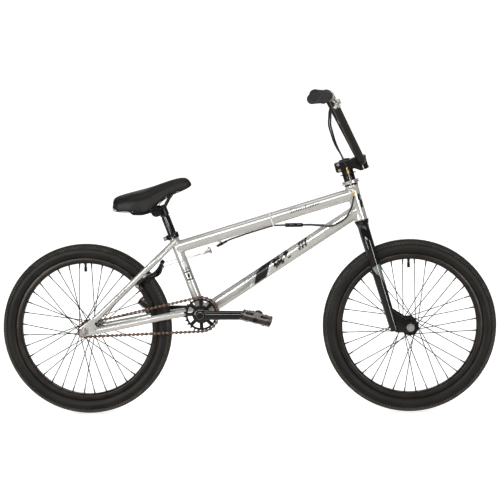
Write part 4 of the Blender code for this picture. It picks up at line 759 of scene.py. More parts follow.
def rim(prefix, body, axle, steered):
    """A box rim with rounded flanges, a valve and its cap."""
    half = 0.0160
    profile = [(0.2125, half - 0.0005), (0.2129, half - 0.0012), (0.2125, half - 0.0022),
               (0.2060, half - 0.0028), (0.2030, half - 0.0034), (0.2026, 0.0),
               (0.2030, -half + 0.0034),
               (0.2060, -half + 0.0028), (0.2125, -half + 0.0022), (0.2129, -half + 0.0012),
               (0.2125, -half + 0.0005), (0.2118, -half), (0.2020, -half),
               (0.2004, -half + 0.0004),
               (0.1992, -half + 0.0014), (0.1968, -0.0112), (0.1962, -0.0080), (0.1960, 0.0),
               (0.1962, 0.0080), (0.1968, 0.0112), (0.1992, half - 0.0014),
               (0.2004, half - 0.0004),
               (0.2020, half), (0.2118, half)]
    piece(prefix + "_rim_shell", body, RIM_BLACK, [lathe(profile, axle, Y, 144)],
          [prefix + "_rim"], steered, smooth=40)
    up = Vector((0, 0, 1))
    stem = rod(axle + up * 0.1760, axle + up * 0.1985, 0.0036, 20, 0.0004)
    nut = hex_nut(axle + up * 0.1962, -up, 0.0052, 0.0030)
    cap_profile = [(0.0, 0.0135), (0.0036, 0.0135), (0.0046, 0.0125)]
    for ring in range(5):
        cap_profile += [(0.0046, 0.0115 - ring * 0.0022), (0.0042, 0.0108 - ring * 0.0022)]
    cap_profile += [(0.0046, 0.0008), (0.0043, 0.0), (0.0, 0.0)]
    cap = lathe(cap_profile, axle + up * 0.1845, -up, 24, loop=False)
    piece(prefix + "_valve", body, BLACK_SATIN, [stem, nut, cap], (), steered, smooth=35)


def spokes(prefix, body, axle, flange_radius, flange_across, steered):
    """Thirty-six round spokes laced three-cross, elbowed into the flanges, with nipples."""
    wires, nipples = [], []
    for side in (-1, 1):
        for index in range(18):
            lean = 1 if index % 2 else -1
            rim_angle = math.radians(10.0 * (2 * index + (0.5 if side > 0 else -0.5)))
            hub_angle = rim_angle + lean * math.radians(60.0)
            radial = Vector((math.cos(hub_angle), 0.0, math.sin(hub_angle)))
            flange = axle + radial * (flange_radius - 0.0024) + Y * side * flange_across
            offset = Y * lean * 0.0030
            end = axle + Vector((0.1975 * math.cos(rim_angle), side * 0.0025,
                                 0.1975 * math.sin(rim_angle)))
            bend = flange + offset
            toward = (end - bend).normalized()
            path = [flange - offset * 1.1, flange, bend, bend + toward * 0.0016 + offset * 0.10,
                    bend + toward * 0.0060, end - toward * 0.0150, end]
            wires.append(sweep(path, 0.00125, 8))
            wires.append(rod(flange - offset * 1.25, flange - offset * 0.75, 0.0021, 10, 0.0005))
            nipples.append(lathe([(0.0, 0.0145), (0.0019, 0.0145), (0.0019, 0.0060),
                                  (0.0023, 0.0052),
                                  (0.0023, 0.0), (0.0, 0.0)], end - toward * 0.0010, -toward, 10,
                                 loop=False))
    piece(prefix + "_spoke_wires", body, SPOKE_BLACK, wires, [prefix + "_spokes"], steered,
          smooth=50)
    piece(prefix + "_nipples", body, BLACK_GLOSS, nipples, (), steered, smooth=35)


def hub(prefix, body, axle, flange_radius, across, shell, end, bore, steered):
    """A hub shell with round flanges and dust covers."""
    f, w = across, 0.0016
    profile = [(bore, end), (0.0112, end), (0.0122, end - 0.0010), (0.0135, f + w + 0.0016),
               (0.0150, f + w), (flange_radius, f + w), (flange_radius + 0.0005, f + w - 0.0005),
               (flange_radius + 0.0005, f - w + 0.0005), (flange_radius, f - w),
               (shell + 0.0030, f - w - 0.0010), (shell + 0.0006, f - w - 0.0045),
               (shell, f - w - 0.0080), (shell - 0.0016, f * 0.4), (shell - 0.0020, 0.0)]
    profile += [(radius, -height) for radius, height in reversed(profile[:-1])]
    shapes = [lathe(profile, axle, Y, 72)]
    piece(prefix + "_hub_shell", body, BLACK_SATIN, shapes, [prefix + "_hub"], steered, smooth=40)
    seals = []
    for side in (-1, 1):
        seals.append(lathe([(bore, 0.0006), (0.0100, 0.0006), (0.0104, 0.0), (0.0104, -0.0020),
                            (bore, -0.0020)], axle + Y * side * end, Y * side, 40))
    piece(prefix + "_hub_seals", body, STEEL, seals, (), steered, smooth=40)


def axle_set(prefix, body, axle, radius, inside, outside, end, hex_radius, lock_radius, steered,
             material):
    """A threaded axle with its locknuts, washers and chamfered nuts."""
    shapes = []
    for side in (-1, 1):
        out = Y * side
        thread = [(0.0, end), (radius - 0.0008, end), (radius, end - 0.0008)]
        for turn in range(6):
            thread += [(radius, end - 0.0014 - turn * 0.0012),
                       (radius - 0.0006, end - 0.0020 - turn * 0.0012)]
        thread += [(radius, end - 0.0090), (radius, 0.0), (0.0, 0.0)]
        shapes.append(lathe(thread, axle, out, 28, loop=False))
        shapes.append(lathe([(radius, inside - 0.0003), (lock_radius - 0.0006, inside - 0.0003),
                             (lock_radius, inside - 0.0009), (lock_radius, inside - 0.0060),
                             (radius, inside - 0.0060)], axle, out, 32))
        shapes.append(lathe([(radius, outside + 0.0024), (hex_radius + 0.0012, outside + 0.0024),
                             (hex_radius + 0.0020, outside + 0.0018),
                             (hex_radius + 0.0020, outside + 0.0003), (radius, outside + 0.0003)],
                            axle, out, 40))
        nut_low = outside + 0.0022
        shapes.append(hex_nut(axle + out * nut_low, out, hex_radius, end - 0.0030 - nut_low))
    piece(prefix + "_axle_nuts", body, material, shapes, [prefix + "_axle"], steered, smooth=30)


def build_wheels():
    for prefix, axle, steered, sizes in (
            ("rear", REAR_AXLE, False, (0.0235, 0.0290, 0.0150, 0.0330, 0.0074)),
            ("front", FRONT_AXLE, True, (0.0248, 0.0345, 0.0130, 0.0400, 0.0052))):
        body = prefix + "_wheel"
        tyre(prefix, body, axle, steered)
        rim(prefix, body, axle, steered)
        spokes(prefix, body, axle, sizes[0], sizes[1], steered)
        hub(prefix, body, axle, *sizes, steered)
    axle_set("rear", "frame", REAR_AXLE, 0.0070, 0.055, 0.061, 0.0745, 0.0110, 0.0105, False,
             STEEL)
    axle_set("front", "steering", FRONT_AXLE, 0.0048, 0.050, 0.055, 0.0690, 0.0095, 0.0080, True,
             STEEL)


# --------------------------------------------------------------------- drive train
def pitch_radius(teeth):
    return PITCH / (2 * math.sin(math.pi / teeth))


def toothed(teeth):
    """A sprocket's edge: a round seat for each roller and a rounded tooth between."""
    radius = pitch_radius(teeth)
    outline = []
    for tooth in range(teeth):
        for part_turn, reach in ((-0.30, -0.0040), (-0.22, -0.0032), (-0.13, -0.0006),
                                 (-0.07, 0.0017),
                                 (0.0, 0.0022), (0.07, 0.0017), (0.13, -0.0006), (0.22, -0.0032),
                                 (0.30, -0.0040), (0.5, -0.0042)):
            angle = 2 * math.pi * (tooth + part_turn) / teeth
            outline.append(((radius + reach) * math.cos(angle),
                            (radius + reach) * math.sin(angle)))
    return outline


def build_chainring():
    windows = []
    for index in range(8):
        middle = 360.0 * (index + 0.5) / 8
        windows.append(arc(0.0408, middle - 15.0, middle + 15.0, 10)
                       + arc(0.0268, middle + 11.5, middle - 11.5, 5))
    place = side_view(BB + Y * CHAIN_LINE)
    ring = plate([toothed(RING_TEETH)] + windows, 0.0030, place, 0.0005)
    boss = lathe([(0.0110, 0.0030), (0.0180, 0.0030), (0.0188, 0.0022), (0.0188, -0.0016),
                  (0.0180, -0.0022), (0.0110, -0.0022)], BB + Y * CHAIN_LINE, -Y, 48)
    piece("chainring_plate", "crank", BLACK_SATIN, [ring, boss], ["chainring"], smooth=35)
    bolt = hex_head(BB + Y * (CHAIN_LINE - 0.0028) + Vector((0.0, 0.0, -0.0150)), -Y, 0.0032,
                    0.0012)
    piece("chainring_bolt", "crank", STEEL, [bolt])


def chain_run():
    """The pitch line round cog and ring as (forward, up) from the bottom bracket."""
    gap_x, gap_z = REAR_AXLE.x - BB.x, REAR_AXLE.z - BB.z
    big, small = pitch_radius(RING_TEETH), pitch_radius(COG_TEETH)
    slope = math.degrees(math.atan2(-gap_z, -gap_x))
    dip = math.degrees(math.asin((big - small) / math.hypot(gap_x, gap_z)))
    path = arc(big, slope - 90 - dip, slope + 90 + dip, 80)
    path += arc(small, slope + 90 + dip, slope + 270 - dip, 50, centre=(gap_x, gap_z))
    return [Vector(spot) for spot in path]


def spaced(path, count):
    """Points spread evenly along a closed path."""
    loop = path + path[:1]
    lengths = [0.0]
    for before, after in zip(loop, loop[1:]):
        lengths.append(lengths[-1] + (after - before).length)
    found, spot = [], 0
    for index in range(count):
        goal = lengths[-1] * index / count
        while lengths[spot + 1] < goal:
            spot += 1
        share = (goal - lengths[spot]) / (lengths[spot + 1] - lengths[spot])
        found.append(loop[spot].lerp(loop[spot + 1], share))
    return found


def link_outline(length):
    """A link plate from the side: two round ends and a waist."""
    half = length / 2
    outline = arc(0.0043, -140, 140, 14, centre=(half, 0.0))
    outline += [(0.0009, 0.0017), (-0.0009, 0.0017)]
    outline += arc(0.0043, 40, 320, 14, centre=(-half, 0.0))
    outline += [(-0.0009, -0.0017), (0.0009, -0.0017)]
    return outline


def moved(shape, matrix):
    return [matrix @ vert for vert in shape[0]], shape[1]


def build_chain():
    """Seventy-two half-inch links: inner and outer plates in turn, pins and rollers."""
    spots = spaced(chain_run(), 72)
    place = side_view(BB + Y * CHAIN_LINE)
    outer = plate([link_outline(PITCH)], 0.0009, Matrix.Identity(4), 0.0002)
    plates, pins = [], []
    pin = lathe([(0.0, 0.0047), (0.0016, 0.0047), (0.0021, 0.0042), (0.0021, -0.0042),
                 (0.0016, -0.0047),
                 (0.0, -0.0047)], (0, 0, 0), (0, 0, 1), 12, loop=False)
    roller = lathe([(0.0, 0.0021), (0.0036, 0.0021), (0.0038, 0.0018), (0.0038, -0.0018),
                    (0.0036, -0.0021), (0.0, -0.0021)], (0, 0, 0), (0, 0, 1), 14, loop=False)
    for index, spot in enumerate(spots):
        after = spots[(index + 1) % len(spots)]
        middle = (spot + after) / 2
        turn = Matrix.Rotation(math.atan2(after.y - spot.y, after.x - spot.x), 4, "Z")
        level = 0.0028 if index % 2 else 0.0037
        for way in (-1, 1):
            flat = Matrix.Translation((middle.x, middle.y, way * level)) @ turn
            plates.append(moved(outer, place @ flat))
        pins.append(moved(pin, place @ Matrix.Translation((spot.x, spot.y, 0.0))))
        pins.append(moved(roller, place @ Matrix.Translation((spot.x, spot.y, 0.0))))
    piece("chain_plates", "frame", CHAIN_BROWN, plates, ["chain"], smooth=35)
    piece("chain_pins", "frame", PIN_STEEL, pins, (), smooth=35)


def build_cranks():
    spindle = lathe([(0.0, 0.0779), (0.0070, 0.0779), (0.0070, 0.0760), (0.0100, 0.0760),
                     (0.0107, 0.0752),
                     (0.0107, -0.0752), (0.0100, -0.0760), (0.0070, -0.0760), (0.0070, -0.0779),
                     (0.0, -0.0779)], BB, Y, 40, loop=False)
    spacer = lathe([(0.0107, -0.0355), (0.0144, -0.0355), (0.0150, -0.0361), (0.0150, -0.0396),
                    (0.0144, -0.0402), (0.0107, -0.0402)], BB, Y, 40)
    piece("crank_spindle_rod", "crank", STEEL, [spindle, spacer], ["crank_spindle"], smooth=35)
    cups = []
    for side in (-1, 1):
        cups.append(lathe([(0.0113, 0.0008), (0.0150, 0.0008), (0.0203, 0.0), (0.0203, -0.0060),
                           (0.0113, -0.0060)], BB + Y * side * 0.0338, Y * side, 48))
    piece("bearing_covers", "frame", BLACK_SATIN, cups, ["bottom_bracket_bearings"], smooth=35)
    for side in (-1, 1):
        ahead = Vector((-side, 0, 0))
        end = BB + ahead * CRANK_LENGTH
        boss = lathe([(0.0113, 0.0285), (0.0165, 0.0285), (0.0183, 0.0272), (0.0187, 0.0255),
                      (0.0187, 0.0018), (0.0178, 0.0), (0.0113, 0.0)],
                     BB + Y * side * 0.0465, Y * side, 56)
        path = [BB + Y * side * 0.0610 + ahead * 0.008, BB + Y * side * 0.0655 + ahead * 0.050,
                BB + Y * side * 0.0720 + ahead * 0.110, end + Y * side * 0.0765 - ahead * 0.0115]
        tube = sweep(path, evenly(path, (0.0138, 0.0128)), 40)
        eye = lathe([(0.0072, 0.0190), (0.0128, 0.0190), (0.0143, 0.0176), (0.0147, 0.0160),
                     (0.0147, 0.0020), (0.0138, 0.0), (0.0072, 0.0)],
                    end + Y * side * 0.0680, Y * side, 48)
        piece(name_on("crank_arm_paint", side), "crank", BLACK_GLOSS, [boss, tube, eye],
              [name_on("crank_arm", side)], smooth=40)
        loops = [[path[0] + ahead * 0.0115 + offset
                  for offset in circle_around(ahead, 0.0138, 40)],
                 [path[-1] - ahead * 0.0022 + offset
                  for offset in circle_around(ahead, 0.0128, 40)]]
        piece(name_on("crank_welds", side), "crank", BLACK_GLOSS,
              [weld(loop, 0.0017) for loop in loops],
              (), smooth=70)
        cap = lathe([(0.0, 0.0029), (0.0040, 0.0029), (0.0046, 0.0034), (0.0088, 0.0034),
                     (0.0096, 0.0026), (0.0098, 0.0), (0.0, 0.0)], BB + Y * side * 0.0752,
                     Y * side, 32,
                    loop=False)
        piece(name_on("spindle_cap", side), "crank", BLACK_SATIN, [cap], (), smooth=30)
        build_pedal(side, end)


def build_pedal(side, end):
    """A moulded platform: rails, barrel, cross ribs, raised teeth and small pins."""
    tilt = math.radians(15.0 if side < 0 else 36.0)
    centre = end + Y * side * 0.1365
    ahead = Vector((math.cos(tilt), 0, -math.sin(tilt)))
    up = Vector((math.sin(tilt), 0, math.cos(tilt)))
    flat = Matrix.Translation(centre) @ Matrix((ahead, up.cross(ahead), up)).transposed().to_4x4()
    long, wide, corner = 0.0443, 0.0453, 0.010
    outline = [(-long + corner, -wide), (long - corner, -wide), (long, -wide + corner),
               (long, wide - corner), (long - corner, wide), (-long + corner, wide),
               (-long, wide - corner), (-long, -wide + corner)]
    windows = []
    for way in (-1, 1):
        near, far = sorted((way * 0.0112, way * 0.0352))
        windows.append([(near, -0.0350), (far, -0.0350), (far, 0.0350), (near, 0.0350)])
    shapes = [plate([outline] + windows, 0.0134, flat, 0.0009)]
    for way in (-1, 1):
        for level in (-1, 1):
            for index in range(7):
                across = -0.0330 + 0.0110 * index
                spot = flat @ Vector((way * 0.0400, across, level * 0.0100))
                shapes.append(block(spot, (0.0052, 0.0072, 0.0026), up * level, ahead))
            for index in (-1, 1):
                spot = flat @ Vector((way * 0.0240, index * 0.0395, level * 0.0098))
                shapes.append(block(spot, (0.0080, 0.0052, 0.0030), up * level, ahead))
    body = ("right" if side < 0 else "left") + "_pedal"
    piece(name_on("pedal_body", side), body, PEDAL, shapes, [name_on("pedal", side)], bevel=0.0006)
    # Lighter plates on both faces and a lighter barrel: painted highlight on the pedal.
    faces = [lathe([(0.0053, 0.0445), (0.0088, 0.0445), (0.0104, 0.0425), (0.0104, -0.0425),
                    (0.0088, -0.0445), (0.0053, -0.0445)], centre, Y, 40)]
    for level in (-1, 1):
        face_at = flat @ Matrix.Translation((0.0, 0.0, level * 0.0069))
        faces.append(plate([outline] + windows, 0.0052, face_at, 0.0022))
    piece(name_on("pedal_faces_painted_highlight", side), body, PEDAL_FACE_HIGHLIGHT, faces, smooth=30)
    pins = []
    for way in (-1, 1):
        for level in (-1, 1):
            for across in (-0.0385, 0.0, 0.0385):
                low = flat @ Vector((way * 0.0330, across, level * 0.0085))
                high = flat @ Vector((way * 0.0330, across, level * 0.0113))
                pins.append(rod(low, high, 0.0017, 12, 0.0003))
    piece(name_on("pedal_pins", side), body, STEEL, pins)
    cap = lathe([(0.0, 0.0016), (0.0065, 0.0016), (0.0078, 0.0004), (0.0078, -0.003),
                 (0.0, -0.003)],
                centre + Y * side * 0.0440, Y * side, 32, loop=False)
    piece(name_on("pedal_end_cap", side), body, BLACK_SATIN, [cap])
    axle = lathe([(0.0, 0.109), (0.0045, 0.109), (0.0050, 0.019), (0.0094, 0.019),
                  (0.0100, 0.0186),
                  (0.0100, 0.0173), (0.0068, 0.0173), (0.0068, 0.0), (0.0, 0.0)],
                 end + Y * side * 0.0700, Y * side, 32, loop=False)
    flats = hex_nut(end + Y * side * 0.0875, Y * side, 0.0085, 0.0030)
    piece(name_on("pedal_axle_rod", side), "crank", STEEL, [axle, flats],
          [name_on("pedal_axle", side)], smooth=30)


def build_cog():
    sprocket = plate([toothed(COG_TEETH)], 0.0030, side_view(REAR_AXLE + Y * CHAIN_LINE), 0.0005)
    driver = lathe([(0.0073, -0.0352), (0.0126, -0.0352), (0.0132, -0.0358), (0.0132, -0.0470),
                    (0.0124, -0.0478), (0.0073, -0.0478)], REAR_AXLE, Y, 40)
    piece("rear_cog_steel", "cog", STEEL, [sprocket, driver], ["rear_cog"], smooth=35)


# ---------------------------------------------------------------------- seat group
def build_seat():
    axis = SEAT_DIR
    collar = lathe([(0.0146, 0.2515), (0.0176, 0.2515), (0.0183, 0.2508), (0.0183, 0.2500),
                    (0.0177, 0.2492), (0.0177, 0.2382), (0.0183, 0.2374), (0.0183, 0.2366),
                    (0.0176, 0.2360), (0.0146, 0.2360)], BB, axis, 64)
    ears = [block(seat(0.2437, -0.0225, way * 0.0048), (0.0076, 0.0120, 0.0118), axis, Y)
            for way in (-1, 1)]
    piece("seat_clamp_collar", "frame", BLACK_GLOSS, [collar] + ears, ["seat_clamp"], bevel=0.0008)
    bolt = rod(seat(0.2437, -0.0235, -0.0110), seat(0.2437, -0.0235, 0.0110), 0.0030, 20, 0.0003)
    head_bolt = hex_head(seat(0.2437, -0.0235, -0.0088), -Y, 0.0046, 0.0036)
    nut = lathe([(0.0, 0.0030), (0.0034, 0.0030), (0.0046, 0.0020), (0.0046, 0.0), (0.0, 0.0)],
                seat(0.2437, -0.0235, 0.0088), Y, 20, loop=False)
    piece("seat_clamp_screw", "frame", STEEL, [bolt, head_bolt, nut])
    post = lathe([(0.0, 0.210), (0.0104, 0.210), (0.0111, 0.2093), (0.0111, 0.1770),
                  (0.0113, 0.1755),
                  (0.0122, 0.1748), (0.0127, 0.1738), (0.0127, 0.0006), (0.0121, 0.0), (0.0, 0.0)],
                 seat(0.130), axis, 56, loop=False)
    piece("seat_post_tube", "seat_post_group", BLACK_GLOSS, [post], ["seat_post"], smooth=35)

    clamp = lathe([(0.0114, 0.3370), (0.0128, 0.3370), (0.0136, 0.3362), (0.0136, 0.3088),
                   (0.0128, 0.3080), (0.0114, 0.3080)], BB, axis, 48)
    barrel = lathe([(0.0038, 0.0134), (0.0104, 0.0134), (0.0110, 0.0128), (0.0110, -0.0128),
                    (0.0104, -0.0134), (0.0038, -0.0134)], SADDLE_PIVOT, Y, 48)
    neck = block((SADDLE_PIVOT + seat(0.3220, -0.0120)) / 2, (0.0200, 0.0100, 0.0180), axis)
    piece("saddle_clamp_body", "seat_post_group", BLACK_SATIN, [clamp, barrel, neck],
          ["saddle_clamp"],
          bevel=0.0007)
    pinch = []
    for way in (-1, 1):
        pinch.append(hex_head(seat(0.3160, -0.0120, way * 0.0100), Y * way, 0.0040, 0.0026))
    piece("saddle_clamp_screws", "seat_post_group", STEEL, pinch)

    parts = [rod(SADDLE_PIVOT - Y * 0.0300, SADDLE_PIVOT + Y * 0.0300, 0.0034, 24)]
    for side in (-1, 1):
        serrated = [(0.0034, 0.0285), (0.0136, 0.0285), (0.0152, 0.0272), (0.0155, 0.0258)]
        for ring in range(3):
            serrated += [(0.0155, 0.0246 - ring * 0.0034), (0.0147, 0.0238 - ring * 0.0034),
                         (0.0147, 0.0228 - ring * 0.0034), (0.0155, 0.0220 - ring * 0.0034)]
        serrated += [(0.0150, 0.0140), (0.0034, 0.0140)]
        parts.append(lathe(serrated, SADDLE_PIVOT, Y * side, 48))
        route = curved([(-0.2180, side * 0.0150, 0.6475), (-0.2370, side * 0.0215, 0.6135),
                        (-0.2600, side * 0.0220, 0.6055), (-0.3000, side * 0.0230, 0.5950),
                        (-0.3280, side * 0.0240, 0.5955), (-0.3420, side * 0.0240, 0.6120)], 0.015,
                        8)
        parts.append(sweep(route, 0.0035, 20))
    piece("saddle_rail_pair", "saddle_group", BLACK_SATIN, parts, ["saddle_rails"], smooth=35)
    ends = []
    for side in (-1, 1):
        ends.append(hex_nut(SADDLE_PIVOT + Y * side * 0.0283, Y * side, 0.0062, 0.0036))
    piece("saddle_rail_nuts", "saddle_group", BLACK_SATIN, ends, smooth=30)
    build_saddle()


STATIONS = [
    # x, half width, top, skirt, underside on the centre line
    (-0.3850, 0.030, 0.6385, 0.6205, 0.6215), (-0.3815, 0.049, 0.6450, 0.6130, 0.6170),
    (-0.3720, 0.061, 0.6500, 0.6070, 0.6150), (-0.3500, 0.069, 0.6560, 0.6055, 0.6200),
    (-0.3200, 0.071, 0.6625, 0.6040, 0.6280), (-0.2900, 0.065, 0.6695, 0.5978, 0.6360),
    (-0.2700, 0.052, 0.6755, 0.6060, 0.6420), (-0.2500, 0.039, 0.6823, 0.6270, 0.6480),
    (-0.2250, 0.029, 0.6912, 0.6440, 0.6540), (-0.2000, 0.0240, 0.6985, 0.6545, 0.6590),
    (-0.1800, 0.0215, 0.7015, 0.6625, 0.6650), (-0.1670, 0.0175, 0.6985, 0.6690, 0.6705),
    (-0.1590, 0.0110, 0.6900, 0.6745, 0.6750), (-0.1563, 0.0040, 0.6830, 0.6790, 0.6792)]


def smooth_station(share):
    """A saddle section anywhere along it, on a smooth curve through the stations."""
    place = share * (len(STATIONS) - 1)
    index = min(int(place), len(STATIONS) - 2)
    t = place - index
    picks = [STATIONS[min(max(index + k, 0), len(STATIONS) - 1)] for k in (-1, 0, 1, 2)]
    values = []
    for a, b, c, d in zip(*picks):
        values.append(0.5 * (2 * b + (c - a) * t + (2 * a - 5 * b + 4 * c - d) * t * t
                             + (3 * b - a - 3 * c + d) * t ** 3))
    return values


def saddle_section(share, inset=0.0, steps=32):
    """The domed cover of one section, from the left skirt over the top to the right."""
    x, half, top, skirt, _ = smooth_station(share)
    half = max(half - inset, 0.001)
    top -= inset
    points = []
    for step in range(steps + 1):
        angle = math.pi * step / steps
        across = math.copysign(abs(math.cos(angle)) ** 0.75, math.cos(angle))
        points.append(Vector((x, half * across, skirt + (top - skirt) * math.sin(angle) ** 0.62)))
    return points


def saddle_pad(rings, steps):
    """The closed pad: its dome, and the hollow below that clears the rails."""
    verts, loops = [], []
    for index in range(rings + 1):
        share = index / rings
        x, half, _, skirt, under = smooth_station(share)
        inset = 0.0016
        section = saddle_section(share, inset, steps)
        low = [(-0.86, 0.15), (-0.66, 0.6), (-0.45, 1.0), (-0.15, 1.0), (0.15, 1.0), (0.45, 1.0),
               (0.66, 0.6), (0.86, 0.15)]
        section += [Vector((x, half * a, skirt + b * (under - skirt))) for a, b in low]
        loops.append(list(range(len(verts), len(verts) + len(section))))
        verts += section
    faces = []
    for first, second in zip(loops, loops[1:]):
        faces += bridge(first, second)
    faces += [tuple(loops[0][::-1]), tuple(loops[-1])]
    return verts, faces


def soft_pass(obj, cap, voxel=0.0045, pressure=4.0):
    """Let the filled cover swell a little under pressure, then keep the result."""
    remesh = obj.modifiers.new("remesh", "REMESH")
    remesh.mode = "VOXEL"
    remesh.voxel_size = voxel
    apply_modifiers(obj)
    start = [vert.co.copy() for vert in obj.data.vertices]
    fixed = obj.vertex_groups.new(name="held")
    held = [i for i, place in enumerate(start) if is_underside(place)]
    fixed.add(held, 1.0, "REPLACE")
    cloth = obj.modifiers.new("cloth", "CLOTH")
    cloth.settings.quality = 6
    cloth.settings.use_pressure = True
    cloth.settings.uniform_pressure_force = pressure
    cloth.settings.vertex_group_mass = "held"
    cloth.settings.tension_stiffness = 25.0
    cloth.settings.compression_stiffness = 25.0
    cloth.settings.effector_weights.gravity = 0.0
    scene = bpy.context.scene
    cloth.point_cache.frame_start = 1
    cloth.point_cache.frame_end = 20
    for step in range(1, 21):
        scene.frame_set(step)
    apply_modifiers(obj)
    for vert, place in zip(obj.data.vertices, start):
        shift = vert.co - place
        if shift.length > cap:
            vert.co = place + shift.normalized() * cap
    scene.frame_set(1)


def is_underside(place):
    """Whether a point of the pad belongs to its flat base or skirt edge."""
    share = (place.x - STATIONS[0][0]) / (STATIONS[-1][0] - STATIONS[0][0])
    best = min(STATIONS, key=lambda row: abs(row[0] - place.x))
    return place.z < max(best[3], best[4]) + 0.0035 or not 0.0 < share < 1.0


def apply_modifiers(obj):
    """Freeze an object's modifiers into its mesh."""
    bpy.context.view_layer.update()
    graph = bpy.context.evaluated_depsgraph_get()
    mesh = bpy.data.meshes.new_from_object(obj.evaluated_get(graph))
    old = obj.data
    obj.modifiers.clear()
    obj.data = mesh
    bpy.data.meshes.remove(old)


def build_saddle():
    pad = piece("saddle_pad", "saddle_group", VINYL, [saddle_pad(64, 36)], ["saddle"], smooth=60)
    soft_pass(pad, 0.0028)
    pad.data.shade_smooth()
    smooth = pad.modifiers.new("smooth", "SUBSURF")
    smooth.levels = 1
    smooth.render_levels = 1
    seams, piping = [], []
    for way in (-1, 1):
        for height, radius in ((0.150, 0.00085), (0.175, 0.00045)):
            line = []
            for index in range(4, 91):
                section = saddle_section(index / 92, 0.0, 40)
                spot = section[int(40 * height)] if way > 0 else section[40 - int(40 * height)]
                line.append(spot + Vector((0.0, -way * 0.0002, 0.0)))
            seams.append(sweep(line, radius, 8))
    rim_line = []
    for index in range(0, 93):
        rim_line.append(saddle_section(index / 92, 0.0006, 40)[0])
    for index in range(92, -1, -1):
        rim_line.append(saddle_section(index / 92, 0.0006, 40)[-1])
    piping.append(sweep(rim_line, 0.0013, 10, loop=True))
    for way in (-1, 1):
        line = []
        for index in range(25):
            share = index / 24
            section = saddle_section(0.300 - 0.060 * share, 0.0, 40)
            row = 5.2 + 9.5 * (1 - share) ** 1.3
            low = int(row)
            spot = section[low].lerp(section[low + 1], row - low)
            line.append(flip(spot, way))
        seams.append(sweep(line, 0.0008, 8))
    piece("saddle_edge_binding", "saddle_group", VINYL_SIDE, piping)
    piece("saddle_seams", "saddle_group", VINYL_SIDE, seams)
    sockets = []
    for side in (-1, 1):
        sockets.append(block(Vector((-0.2215, side * 0.0160, 0.6480)), (0.0120, 0.0160, 0.0100),
                             Vector((0.45, 0.0, 1.0))))
        sockets.append(block(Vector((-0.3410, side * 0.0240, 0.6140)), (0.0140, 0.0150, 0.0080),
                             Vector((-0.4, 0.0, 1.0))))
    piece("saddle_rail_sockets", "saddle_group", BLACK_SATIN, sockets, bevel=0.0012)


# ---------------------------------------------------------------- headset and rotor
def build_headset():
    lower = lathe([(0.0146, 0.014), (0.0167, 0.014), (0.0167, 0.006), (0.0200, 0.006),
                   (0.0212, 0.0048), (0.0212, 0.0012), (0.0204, 0.0), (0.0146, 0.0)],
                  head(0, -0.0590), HEAD_DIR, 56)
    upper = lathe([(0.0146, 0.012), (0.0185, 0.012), (0.0200, 0.0108), (0.0206, 0.0085),
                   (0.0200, 0.0079), (0.0167, 0.0079), (0.0167, 0.0), (0.0146, 0.0)],
                  head(0, 0.0450), HEAD_DIR, 56)
    piece("headset_lower_cup", "frame", BLACK_SATIN, [lower], ["headset_cup_lower"], smooth=35)
    piece("headset_upper_cup", "frame", BLACK_SATIN, [upper], ["headset_cup_upper"], smooth=35)

    sleeve = lathe([(0.0146, 0.0862), (0.0166, 0.0862), (0.0170, 0.0856), (0.0170, 0.0579),
                    (0.0166, 0.0573), (0.0146, 0.0573)], HEAD_MIDDLE, HEAD_DIR, 48)
    piece("rotor_sleeve", "steering", BLACK_SATIN, [sleeve], ["gyro_sleeve"], True, smooth=35)
    top_ring = lathe([(0.0146, 0.0983), (0.0166, 0.0983), (0.0172, 0.0977), (0.0172, 0.0890),
                      (0.0234, 0.0886), (0.0240, 0.0880), (0.0240, 0.0870), (0.0234, 0.0865),
                      (0.0146, 0.0865)], HEAD_MIDDLE, HEAD_DIR, 56)
    ears = [eared(0.0875, 0.0019, 0.0160, 0.0335, side, 0.0016) for side in (-1, 1)]
    piece("rotor_top_plate", "steering", BLACK_SATIN, [top_ring] + ears, ["gyro_top_plate"], True,
          smooth=35)
    for name, body, steered, base, top, low, high, material in (
            ("rotor_upper_ring", "upper_gyro_ring", True, 0.0640, 0.0672, 0.0652, 0.0672, ZINC),
            ("rotor_lower_ring", "lower_gyro_ring", False, 0.0585, 0.0637, 0.0585, 0.0607, ZINC)):
        ring = lathe([(0.0173, top), (0.0222, top), (0.0228, top - 0.0005),
                      (0.0228, high + 0.0002),
                      (0.0258, high), (0.0262, high - 0.0005), (0.0262, low + 0.0005),
                      (0.0258, low),
                      (0.0228, base), (0.0173, base)], HEAD_MIDDLE, HEAD_DIR, 56)
        middle = (low + high) / 2
        shapes = [ring]
        wire_end = 0.0960 if steered else 0.0280
        for side in (-1, 1):
            shapes.append(eared(middle, high - low, 0.0100, 0.0335, side, 0.0))
            shapes.append(rod(head(0, middle, side * CABLE_ACROSS),
                              head(0, wire_end, side * CABLE_ACROSS), 0.0008, 8))
            shapes.append(rod(head(0, middle - 0.0022, side * CABLE_ACROSS),
                              head(0, middle + 0.0022, side * CABLE_ACROSS),
                              0.0022, 16, 0.0004))
        node = "gyro_upper_ring" if steered else "gyro_lower_ring"
        piece(name, body, material, shapes, [node], steered, smooth=35)


def eared(along, thick, wide, reach, side, hole):
    """A flat ear beside a rotor plate, rounded outside, with a wire hole."""
    flat = Matrix((HEAD_FORWARD, Y * side, HEAD_FORWARD.cross(Y * side))).transposed().to_4x4()
    half = wide / 2
    outline = [(-half, 0.0190), (half, 0.0190), (half, reach - half * 0.6)]
    outline += arc(half * 0.6, 0, 90, 4, centre=(half * 0.4, reach - half * 0.6))
    outline += arc(half * 0.6, 90, 180, 4, centre=(-half * 0.4, reach - half * 0.6))
    outlines = [outline]
    if hole:
        outlines.append(arc(hole, 0, 330, 11, centre=(0.0, CABLE_ACROSS)))
    return plate(outlines, thick, Matrix.Translation(head(0, along)) @ flat, 0.0003)


